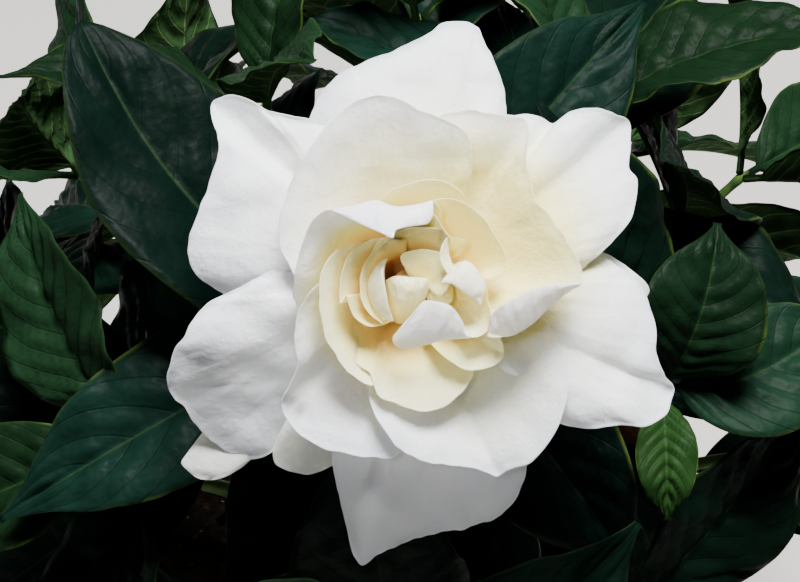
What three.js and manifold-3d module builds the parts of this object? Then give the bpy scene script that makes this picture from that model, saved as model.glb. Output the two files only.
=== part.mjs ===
// A potted gardenia: an unglazed pot of soil, a branched woody stem, leafy shoots and one open bloom.
// Millimetres, +Z up, origin at the centre of the pot's flat base. The bloom faces -Y and up.

import * as THREE from 'three';
import { mergeVertices } from 'three/addons/utils/BufferGeometryUtils.js';
import Module from 'manifold-3d';

const wasm = await Module();
wasm.setup();

// ---------------------------------------------------------------- driving dimensions

const GAP = 0.3; // clearance where one piece seats on another

const POT = {
  height: 130, baseRadius: 52, bodyTopRadius: 68, rimRadius: 75, rimHeight: 26,
  wall: 6, floor: 7, drainRadius: 5, drainCircle: 27, drains: 4, sides: 32,
};
const SOIL = { top: 117, crown: 5, lump: 1.6, rings: 3 };
const STEM = {
  foot: 78, collar: 146, forks: 20, footRadius: 6.2, collarRadius: 4.2, branchRadius: 2.7, endRadius: 2.1,
};
const CROWN = { centre: [0, 4, 178], width: 92, height: 96, elbow: [0.34, 0.6] };

// The bloom's face looks up at this elevation, towards -Y.
const BLOOM = { centre: [0, -48, 288], elevation: 50, petal: 0.8, tubeRadius: 2.6, tubeEnd: -36 };
const CALYX = { floor: -36.3, rim: -33.6, radius: 4.3, foot: -43, sepals: 6, sepalWidth: 2.4 };
const BLADE = { thickness: 0.8, fold: 0.26, narrow: 0.85, stalk: 0.08, clearance: 0.45 };
// start: the share of its route where the brown branch ends and the green shoot begins
const SHOOT = { start: 0.52, radius: 1.75, tipRadius: 0.9, sides: 5, seed: 4711 };

// ---------------------------------------------------------------- small helpers

const vec = (x, y, z) => new THREE.Vector3(x, y, z);
const degrees = THREE.MathUtils.degToRad;

/** Park-Miller draws in 0..1, the same on every run. */
function drawsFrom(seed) {
  let state = seed;
  return () => {
    state = (state * 16807) % 2147483647;
    return state / 2147483647;
  };
}

/** A closed solid from corner points and triangles. */
function solid(points, triangles) {
  return new wasm.Manifold(new wasm.Mesh({
    numProp: 3,
    vertProperties: Float32Array.from(points.flatMap((p) => [p.x, p.y, p.z])),
    triVerts: Uint32Array.from(triangles.flat()),
  }));
}

/** Corner points and triangles of a three.js geometry, without doubled corners. */
function cornersOf(geometry) {
  geometry.deleteAttribute('normal');
  geometry.deleteAttribute('uv');
  const merged = mergeVertices(geometry, 1e-4);
  const { position } = merged.attributes;
  const points = Array.from({ length: position.count }, (_, i) => vec().fromBufferAttribute(position, i));
  const index = Array.from(merged.index.array);
  const triangles = Array.from({ length: index.length / 3 }, (_, i) => index.slice(3 * i, 3 * i + 3));
  return { points, triangles };
}

/** A closed solid from a three.js geometry. */
function solidOf(geometry) {
  const { points, triangles } = cornersOf(geometry);
  return solid(points, triangles);
}

/** Joins solids, fills sealed hollows and drops loose scraps, so that one body is left. */
function fuse(solids) {
  let body = solids[0];
  for (const next of solids.slice(1)) body = body.add(next);
  const pieces = body.simplify(0.07).decompose();
  return pieces.reduce((best, piece) => (piece.volume() > best.volume() ? piece : best));
}

/** A named mesh with its own material. */
function part(name, body, material) {
  const { vertProperties, triVerts } = body.getMesh();
  const geometry = new THREE.BufferGeometry();
  geometry.setAttribute('position', new THREE.BufferAttribute(vertProperties, 3));
  geometry.setIndex(new THREE.BufferAttribute(triVerts, 1));
  geometry.computeVertexNormals();
  const mesh = new THREE.Mesh(geometry, material);
  mesh.name = name;
  return mesh;
}

const finish = (color, roughness) => new THREE.MeshStandardMaterial({ color, roughness, metalness: 0 });

/** A geometry turned about Z from a profile of [radius, z] that starts and ends on the axis. */
function lathe(profile, sides) {
  const outline = profile.map(([r, z]) => new THREE.Vector2(r, z));
  return new THREE.LatheGeometry(outline, sides).rotateX(Math.PI / 2);
}

/** A solid of revolution about Z from a profile of [radius, z] that starts and ends on the axis. */
const turned = (profile, sides) => solidOf(lathe(profile, sides));

/** Point and heading at t = 0..1 on the curve that leaves start for elbow and ends at end. */
function alongRoute({ start, elbow, end }, t) {
  const u = 1 - t;
  return {
    point: start.clone().multiplyScalar(u * u).addScaledVector(elbow, 2 * t * u).addScaledVector(end, t * t),
    heading: elbow.clone().sub(start).multiplyScalar(u)
      .addScaledVector(end.clone().sub(elbow), t).normalize(),
  };
}

/** A tapering round tube along a share of a route, with closed ends; the route bends square to its side. */
function tube(route, [from, to], [startRadius, endRadius], sides, steps) {
  const points = [];
  const triangles = [];
  for (let i = 0; i <= steps; i += 1) {
    const { point, heading } = alongRoute(route, from + ((to - from) * i) / steps);
    const over = heading.clone().cross(route.side);
    const radius = startRadius + (endRadius - startRadius) * (i / steps);
    for (let j = 0; j < sides; j += 1) {
      const turn = (2 * Math.PI * j) / sides;
      points.push(point.clone()
        .addScaledVector(route.side, radius * Math.cos(turn))
        .addScaledVector(over, radius * Math.sin(turn)));
    }
  }
  for (let i = 0; i < steps; i += 1) {
    for (let j = 0; j < sides; j += 1) {
      const a = i * sides + j;
      const b = i * sides + ((j + 1) % sides);
      triangles.push([a, b, b + sides], [a, b + sides, a + sides]);
    }
  }
  const last = steps * sides;
  for (let j = 1; j < sides - 1; j += 1) {
    triangles.push([0, j + 1, j], [last, last + j, last + j + 1]);
  }
  return { points, triangles };
}

// ---------------------------------------------------------------- pot and soil

/** Inner radius of the pot at a height. */
function potBore(z) {
  const { height, baseRadius, bodyTopRadius, rimHeight, wall } = POT;
  const slope = (bodyTopRadius - baseRadius) / (height - rimHeight);
  return baseRadius + slope * z - wall;
}

function makePot() {
  const { height, baseRadius, bodyTopRadius, rimRadius, rimHeight, floor, sides } = POT;
  const rimFoot = height - rimHeight;
  const body = turned([
    [0, 0], [baseRadius - 2, 0], [baseRadius, 2], [bodyTopRadius, rimFoot], [rimRadius - 2.5, rimFoot + 1],
    [rimRadius - 1, rimFoot + 3], [rimRadius, height - 4], [rimRadius - 1.5, height - 0.8],
    [rimRadius - 3.5, height], [potBore(height) + 1.5, height], [potBore(height), height - 2],
    [potBore(floor + 4), floor + 4], [potBore(floor) - 4, floor], [0, floor],
  ], sides);
  let pot = body;
  for (let k = 0; k < POT.drains; k += 1) {
    const turn = (2 * Math.PI * (k + 0.5)) / POT.drains;
    const drain = new THREE.CylinderGeometry(POT.drainRadius, POT.drainRadius, 4 * floor, 10)
      .rotateX(Math.PI / 2)
      .translate(POT.drainCircle * Math.cos(turn), POT.drainCircle * Math.sin(turn), 0);
    pot = pot.subtract(solidOf(drain));
  }
  return pot;
}

/** Height of the soil: a low mound with lumps from three crossing waves. */
function soilHeight(x, y) {
  const reach = Math.hypot(x, y) / potBore(SOIL.top);
  const lumps = Math.sin(0.31 * x + 1.3) * Math.sin(0.27 * y + 0.4) + 0.6 * Math.sin(0.19 * (x + y));
  return SOIL.top + SOIL.crown * (1 - reach * reach) + SOIL.lump * lumps * (1 - reach ** 4);
}

function makeSoil() {
  const around = POT.sides;
  const rim = potBore(SOIL.top) - GAP;
  const foot = POT.floor + GAP;
  const points = [vec(0, 0, soilHeight(0, 0))];
  for (let i = 1; i <= SOIL.rings; i += 1) {
    for (let j = 0; j < around; j += 1) {
      const turn = (2 * Math.PI * j) / around;
      const x = ((rim * i) / SOIL.rings) * Math.cos(turn);
      const y = ((rim * i) / SOIL.rings) * Math.sin(turn);
      points.push(vec(x, y, soilHeight(x, y)));
    }
  }
  for (const [r, z] of [[potBore(foot + 4) - GAP, foot + 4], [potBore(foot) - 4 - GAP, foot]]) {
    for (let j = 0; j < around; j += 1) {
      const turn = (2 * Math.PI * j) / around;
      points.push(vec(r * Math.cos(turn), r * Math.sin(turn), z));
    }
  }
  points.push(vec(0, 0, foot));
  const triangles = [];
  const rows = SOIL.rings + 2;
  for (let j = 0; j < around; j += 1) {
    const next = (j + 1) % around;
    triangles.push([0, 1 + j, 1 + next]);
    for (let i = 0; i < rows - 1; i += 1) {
      const a = 1 + i * around;
      triangles.push([a + j, a + around + j, a + around + next], [a + j, a + around + next, a + next]);
    }
    const last = 1 + (rows - 1) * around;
    triangles.push([last + j, points.length - 1, last + next]);
  }
  const hole = STEM.footRadius + GAP;
  const socket = new THREE.CylinderGeometry(hole, hole, 100, 14)
    .rotateX(Math.PI / 2)
    .translate(0, 0, STEM.foot - GAP + 50);
  return solid(points, triangles).subtract(solidOf(socket));
}

// ---------------------------------------------------------------- leaves

const STATIONS = [0, 0.09, 0.37, 0.72, 1];
const ROW = 6; // points of a blade's section: edge, midrib, edge, each on the under and the upper face

/**
 * Half width of a blade at s = 0 to 1: a short stalk, then elliptic with a wedge-shaped base. A leaf's own
 * powers in broad put its widest part nearer to a blunter tip.
 */
function halfWidth(leaf, s) {
  const u = Math.max(0, (s - BLADE.stalk) / (1 - BLADE.stalk));
  const [towardsTip, blunt] = leaf.broad ?? [0.9, 0.85];
  const arch = Math.sin(Math.PI * Math.min(u, 1) ** towardsTip);
  return Math.max(BLADE.narrow, (leaf.width / 2) * Math.max(0, arch) ** blunt);
}

/** A point of a blade: s along the arched midrib, across -1..1, lift above the middle face. */
function bladePoint(leaf, s, across, lift) {
  const { base, bend, tip, up, wave, phase } = leaf;
  const t = 1 - s;
  const middle = base.clone().multiplyScalar(t * t)
    .addScaledVector(bend, 2 * s * t)
    .addScaledVector(tip, s * s);
  const along = bend.clone().sub(base).multiplyScalar(t)
    .addScaledVector(tip.clone().sub(bend), s)
    .normalize();
  const normal = up.clone().addScaledVector(along, -up.dot(along)).normalize();
  const side = along.clone().cross(normal);
  const half = halfWidth(leaf, s);
  const u = Math.max(0, (s - BLADE.stalk - 0.01) / (1 - BLADE.stalk - 0.01));
  const ripple = wave * Math.sin(Math.PI * u) * Math.sin(15 * s + phase + (across > 0 ? 1.7 : 0));
  const fold = BLADE.fold * Math.min(1, 6 * Math.max(0, s - BLADE.stalk - 0.01), 12 * (1 - s));
  const raise = Math.abs(across) * half * fold + across * across * ripple;
  return middle.addScaledVector(side, across * half).addScaledVector(normal, raise + lift);
}

/** The blade's corners at a thickness, section by section. */
function bladePoints(leaf, thickness) {
  return STATIONS.flatMap((s) => [-1, 0, 1].flatMap((across) => [
    bladePoint(leaf, s, across, -thickness / 2),
    bladePoint(leaf, s, across, thickness / 2),
  ]));
}

/** Triangles between the sections, split alike on both faces. */
const BLADE_TRIANGLES = (() => {
  const triangles = [];
  for (let i = 0; i < STATIONS.length - 1; i += 1) {
    const a = i * ROW;
    const b = a + ROW;
    for (const k of [0, 2]) {
      triangles.push([a + k + 1, a + k + 3, b + k + 3], [a + k + 1, b + k + 3, b + k + 1]);
      triangles.push([a + k, b + k + 2, a + k + 2], [a + k, b + k, b + k + 2]);
    }
    triangles.push([a, a + 1, b + 1], [a, b + 1, b]);
    triangles.push([a + 4, b + 5, a + 5], [a + 4, b + 4, b + 5]);
  }
  const z = (STATIONS.length - 1) * ROW;
  for (const k of [0, 2]) {
    triangles.push([k, k + 2, k + 3], [k, k + 3, k + 1]);
    triangles.push([z + k, z + k + 3, z + k + 2], [z + k, z + k + 1, z + k + 3]);
  }
  return triangles;
})();

/** The blade's middle face, for the test of crossings. */
const SHEET_TRIANGLES = (() => {
  const triangles = [];
  for (let i = 0; i < STATIONS.length - 1; i += 1) {
    for (const k of [0, 1]) {
      const a = i * 3 + k;
      triangles.push([a, a + 1, a + 4], [a, a + 4, a + 3]);
    }
  }
  return triangles;
})();

function edgesOf(triangles) {
  const seen = new Set();
  const edges = [];
  for (const [a, b, c] of triangles) {
    for (const [p, q] of [[a, b], [b, c], [c, a]]) {
      const key = p < q ? `${p}-${q}` : `${q}-${p}`;
      if (!seen.has(key)) {
        seen.add(key);
        edges.push([p, q]);
      }
    }
  }
  return edges;
}

function shape(points, triangles) {
  return { points, triangles, edges: edgesOf(triangles), box: new THREE.Box3().setFromPoints(points) };
}

/** Whether any edge of one shape passes through a triangle of the other. */
function pierces(one, other) {
  const ab = vec();
  const ac = vec();
  const ray = vec();
  const cross = vec();
  const from = vec();
  const second = vec();
  for (const [i, j, k] of other.triangles) {
    ab.subVectors(other.points[j], other.points[i]);
    ac.subVectors(other.points[k], other.points[i]);
    for (const [p, q] of one.edges) {
      ray.subVectors(one.points[q], one.points[p]);
      cross.crossVectors(ray, ac);
      const det = ab.dot(cross);
      if (det === 0) continue;
      from.subVectors(one.points[p], other.points[i]);
      const u = from.dot(cross) / det;
      if (u < 0 || u > 1) continue;
      second.crossVectors(from, ab);
      const v = ray.dot(second) / det;
      if (v < 0 || u + v > 1) continue;
      const t = ac.dot(second) / det;
      if (t >= 0 && t <= 1) return true;
    }
  }
  return false;
}

const crossing = (one, other) => one.box.intersectsBox(other.box)
  && (pierces(one, other) || pierces(other, one));

/** The middle face of a leaf and the room that it keeps to itself, whole and without its stalk. */
function claim(leaf) {
  const sheet = STATIONS.flatMap((s) => [-1, 0, 1].map((across) => bladePoint(leaf, s, across, 0)));
  const room = bladePoints(leaf, 2 * (BLADE.thickness + BLADE.clearance));
  const past = (triangles, first) => triangles.filter((corners) => Math.min(...corners) >= first);
  return {
    sheet: shape(sheet, SHEET_TRIANGLES),
    room: shape(room, BLADE_TRIANGLES),
    blade: shape(sheet, past(SHEET_TRIANGLES, 3)),
    bladeRoom: shape(room, past(BLADE_TRIANGLES, ROW)),
  };
}

// ---------------------------------------------------------------- the bloom's frame

const bloomFrame = new THREE.Group();
bloomFrame.position.set(...BLOOM.centre);
bloomFrame.rotation.x = degrees(90 - BLOOM.elevation);
bloomFrame.updateMatrixWorld();
const fromBloom = (x, y, z) => vec(x, y, z).applyMatrix4(bloomFrame.matrixWorld);
const facing = (x, y, z) => vec(x, y, z).transformDirection(bloomFrame.matrixWorld);

// ---------------------------------------------------------------- shoots

// Where each leafy shoot ends: turn about Z from +X, rise above the horizon, reach as a share of the crown.
// The first one's end leaves are set by hand, as RIGHT_LEAVES.
const SHOOTS = [
  { name: 'shoot_right_front', turn: -37, rise: 44, reach: 0.92, set: true },
  { name: 'shoot_left_front', turn: -141, rise: 36, reach: 0.95 },
  { name: 'shoot_low_front', turn: -92, rise: 6, reach: 0.98 },
  { name: 'shoot_low_right_front', turn: -58, rise: 14, reach: 1 },
  { name: 'shoot_low_left_front', turn: -122, rise: 10, reach: 1 },
  { name: 'shoot_right', turn: -16, rise: 16, reach: 1.02 },
  { name: 'shoot_left', turn: -166, rise: 14, reach: 1.02 },
  { name: 'shoot_right_back', turn: 24, rise: 30, reach: 1 },
  { name: 'shoot_left_back', turn: 156, rise: 31, reach: 1 },
  { name: 'shoot_low_right_back', turn: 56, rise: 6, reach: 0.98 },
  { name: 'shoot_back', turn: 90, rise: 26, reach: 1 },
  { name: 'shoot_low_left_back', turn: 124, rise: 4, reach: 0.98 },
  { name: 'shoot_top_right', turn: 24, rise: 66, reach: 0.97 },
  { name: 'shoot_top_left', turn: 152, rise: 68, reach: 0.97 },
  { name: 'shoot_top_back', turn: 88, rise: 62, reach: 1 },
];

/** The leaves that frame the bloom, in the bloom's own frame: base, bend, tip, facing, width, form. */
const FRAMING_LEAVES = [
  {
    base: [-1, -1, -48], bend: [-38, -5, -33], tip: [-62.6, 50, -37], up: [0.36, 0.27, 0.89], width: 38,
    broad: [1.15, 0.6],
  },
  { base: [-1, -2, -48], bend: [-40, -20, -36], tip: [-79, -45, -44], up: [-0.12, 0.3, 0.95], width: 31 },
  { base: [0, -2, -58], bend: [-14, -32, -52], tip: [-38, -62, -62], up: [0.1, 0.1, 0.98], width: 30 },
  { base: [1, -1, -52], bend: [24, -28, -40], tip: [44, -56, -54], up: [-0.2, 0.1, 0.97], width: 30 },
  { base: [1, 1, -50], bend: [20, 28, -38], tip: [46, 56, -56], up: [-0.1, -0.2, 0.97], width: 31 },
];

/** The leaves of the shoot on the right, in the bloom's frame. */
const RIGHT_LEAVES = [
  { bend: [56, -8, -31], tip: [58.4, 12, -40], up: [0.1, 0, 1], width: 25 },
  { bend: [68, -22, -46], tip: [86, -4, -56], up: [-0.1, 0.2, 0.97], width: 27 },
  { bend: [48.5, -33, -36], tip: [49, -45, -42], up: [0, 0.3, 0.95], width: 12 },
];

/** The way from the trunk to where a shoot ends at the crown's surface: up first, then outwards. */
function shootRoute({ turn, rise, reach }) {
  const out = vec(Math.cos(degrees(turn)), Math.sin(degrees(turn)), 0);
  const flat = CROWN.width * reach * Math.cos(degrees(rise));
  const high = CROWN.height * reach * Math.sin(degrees(rise));
  const end = vec(...CROWN.centre).addScaledVector(out, flat).add(vec(0, 0, high));
  const start = vec(0, 0, STEM.collar - STEM.forks * (1 - Math.sin(degrees(rise))));
  const elbow = start.clone().addScaledVector(out, CROWN.elbow[0] * flat)
    .add(vec(0, 0, CROWN.elbow[1] * (end.z - start.z)));
  return withSide({ start, elbow, end });
}

/** A route with the direction across the plane that it bends in. */
function withSide({ start, elbow, end }) {
  const side = end.clone().sub(start).cross(elbow.clone().sub(start)).normalize();
  return { start, elbow, end, side };
}

const WHORL = {
  leaves: 3, ranks: 3, first: 0.985, step: 0.135,
  young: { length: 44, lift: 52, droop: 16 },
  grown: { length: 62, lift: 34, droop: -8 },
};

// Where a leaf that would cross another is tried next: swing round its stem and rise, in degrees.
const TRIES = [
  [0, 0], [14, 0], [-14, 0], [0, 18], [0, -18], [26, 12], [-26, 12], [26, -14], [-26, -14], [40, 0], [-40, 0],
  [12, 34], [-12, 34], [12, -34], [-12, -34],
];

/** The leaves of a whorl, each with the places to try for it: whorls follow each other down the shoot. */
function whorl(route, rank, spin, draw) {
  const { point, heading } = alongRoute(route, WHORL.first - WHORL.step * rank);
  const across = vec(-heading.y, heading.x, 0).normalize();
  const over = heading.clone().cross(across);
  const age = rank === 0 ? WHORL.young : WHORL.grown;
  return Array.from({ length: WHORL.leaves }, (_, k) => {
    const angle = spin + 60 * rank + (360 / WHORL.leaves) * k + 18 * (draw() - 0.5);
    const length = age.length + 16 * draw();
    const lift = age.lift + 16 * (draw() - 0.5);
    const droop = age.droop + 22 * (draw() - 0.5);
    const phase = 6.28 * draw();
    return TRIES.map(([swing, rising]) => {
      const out = across.clone().multiplyScalar(Math.cos(degrees(angle + swing)))
        .addScaledVector(over, Math.sin(degrees(angle + swing)));
      const reach = (share, slope) => out.clone().multiplyScalar(share * length * Math.cos(degrees(slope)))
        .addScaledVector(heading, share * length * Math.sin(degrees(slope)));
      const bend = point.clone().add(reach(0.5, lift + rising));
      return {
        base: point.clone().addScaledVector(out, 0.5 * SHOOT.radius),
        bend,
        tip: bend.clone().add(reach(0.54, droop + rising)),
        up: heading,
        width: 0.45 * length,
        wave: 0.03 * length,
        phase,
      };
    });
  });
}

const laid = [];
const obstacles = [];

/** Lays a leaf if it crosses nothing, and says if it did. Leaves of one shoot may meet at their stalks. */
function lay(owner, leaf) {
  const mine = claim(leaf);
  const reaching = (thing) => (thing.owner === owner ? mine.blade : mine.sheet);
  const blocked = obstacles.some((thing) => crossing(reaching(thing), thing.body));
  if (blocked) return false;
  const meets = (other) => (other.owner === owner
    ? crossing(mine.blade, other.bladeRoom) || crossing(mine.bladeRoom, other.blade)
    : crossing(mine.sheet, other.room) || crossing(mine.room, other.sheet));
  if (laid.some(meets)) return false;
  laid.push({ owner, leaf, ...mine });
  return true;
}

// Room that the bloom, the pot and the soil keep to themselves.
const bloomRoom = cornersOf(lathe(
  [[0, 17], [32, 17], [50, 2], [50, -15.5], [30, -18.5], [9, -20], [9, -34], [6, -44], [0, -44]], 12,
).applyMatrix4(bloomFrame.matrixWorld));
obstacles.push({ owner: 'bloom', body: shape(bloomRoom.points, bloomRoom.triangles) });
const potRoom = cornersOf(lathe([[0, 0], [54, 0], [77, 102], [77, 132], [0, 132]], 12));
obstacles.push({ owner: 'pot', body: shape(potRoom.points, potRoom.triangles) });

const flowerRoute = withSide({
  start: vec(0, 0, STEM.collar),
  elbow: vec(0, 6, 214),
  end: fromBloom(0, 0, CALYX.foot),
});
const routes = SHOOTS.map(shootRoute);

// Every stem is an obstacle to the leaves.
[...routes, flowerRoute].forEach((route, i) => {
  const { points, triangles } = tube(route, [0.04, 1], [3.2, 2.6], 4, 8);
  obstacles.push({ owner: SHOOTS[i]?.name ?? 'flowering_shoot', body: shape(points, triangles) });
});

const framed = ({ base, bend, tip, up, width, broad }, index) => ({
  base: fromBloom(...base),
  bend: fromBloom(...bend),
  tip: fromBloom(...tip),
  up: facing(...up),
  width,
  broad,
  wave: 0.045 * width,
  phase: 1.1 * index,
});

FRAMING_LEAVES.forEach((leaf, i) => lay('flowering_shoot', framed(leaf, i)));
const rightTip = routes[0].end;
RIGHT_LEAVES.forEach((leaf, i) => {
  const placed = framed({ base: [0, 0, 0], ...leaf }, i);
  placed.base = rightTip.clone();
  lay(SHOOTS[0].name, placed);
});

const draw = drawsFrom(SHOOT.seed);
const spins = SHOOTS.map(() => 360 * draw());
for (let rank = 0; rank < WHORL.ranks; rank += 1) {
  SHOOTS.forEach(({ name, set }, i) => {
    const leaves = whorl(routes[i], rank, spins[i], draw);
    if (rank > 0 || !set) leaves.forEach((places) => places.some((leaf) => lay(name, leaf)));
  });
}

const leavesOf = (owner) => laid.filter((entry) => entry.owner === owner)
  .map(({ leaf }) => solid(bladePoints(leaf, BLADE.thickness), BLADE_TRIANGLES));

/** Share of a route that the clearance between a branch and its shoot takes. */
const gapShare = (route) => GAP / route.start.distanceTo(route.end);

function stemSolid(route, radii, steps) {
  const { points, triangles } = tube(route, [SHOOT.start + gapShare(route), 1], radii, SHOOT.sides, steps);
  return solid(points, triangles);
}

function makeShoot(name, route) {
  return fuse([stemSolid(route, [SHOOT.radius, SHOOT.tipRadius], 3), ...leavesOf(name)]);
}

/** The trunk with a branch for each shoot. */
function makeWoodyStem() {
  const trunkRoute = {
    start: vec(0, 0, STEM.foot),
    elbow: vec(0, 0, SOIL.top),
    end: vec(0, 0, STEM.collar + 3),
    side: vec(1, 0, 0),
  };
  const trunk = tube(trunkRoute, [0, 1], [STEM.footRadius, STEM.collarRadius], 8, 4);
  const branches = [...routes, flowerRoute].map((route) => {
    const { points, triangles } = tube(route, [0, SHOOT.start], [STEM.branchRadius, STEM.endRadius], 5, 3);
    return solid(points, triangles);
  });
  return fuse([solid(trunk.points, trunk.triangles), ...branches]);
}

// ---------------------------------------------------------------- calyx and flowering shoot

function makeFloweringShoot() {
  const stem = stemSolid(flowerRoute, [SHOOT.radius, SHOOT.radius], 5);
  const bore = BLOOM.tubeRadius + GAP;
  const cup = turned([
    [0, CALYX.foot - 1], [1.6, CALYX.foot - 1], [3, CALYX.foot + 2.5], [CALYX.radius, CALYX.floor - 0.7],
    [CALYX.radius, CALYX.rim], [bore, CALYX.rim], [bore, CALYX.floor], [0, CALYX.floor],
  ], 12).transform(bloomFrame.matrixWorld.toArray());
  const sepals = Array.from({ length: CALYX.sepals }, (_, k) => {
    const turn = (2 * Math.PI * k) / CALYX.sepals;
    const at = (r, z) => fromBloom(r * Math.cos(turn), r * Math.sin(turn), z);
    const leaf = {
      base: at(CALYX.radius - 0.6, CALYX.floor - 0.5),
      bend: at(CALYX.radius + 0.6, CALYX.floor + 7),
      tip: at(CALYX.radius + 3.4, CALYX.floor + 14),
      up: facing(-Math.cos(turn), -Math.sin(turn), 0.2),
      width: CALYX.sepalWidth,
      wave: 0,
      phase: 0,
    };
    return solid(bladePoints(leaf, BLADE.thickness), BLADE_TRIANGLES);
  });
  return fuse([stem, cup, ...sepals, ...leavesOf('flowering_shoot')]);
}

// ---------------------------------------------------------------- bloom

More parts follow.
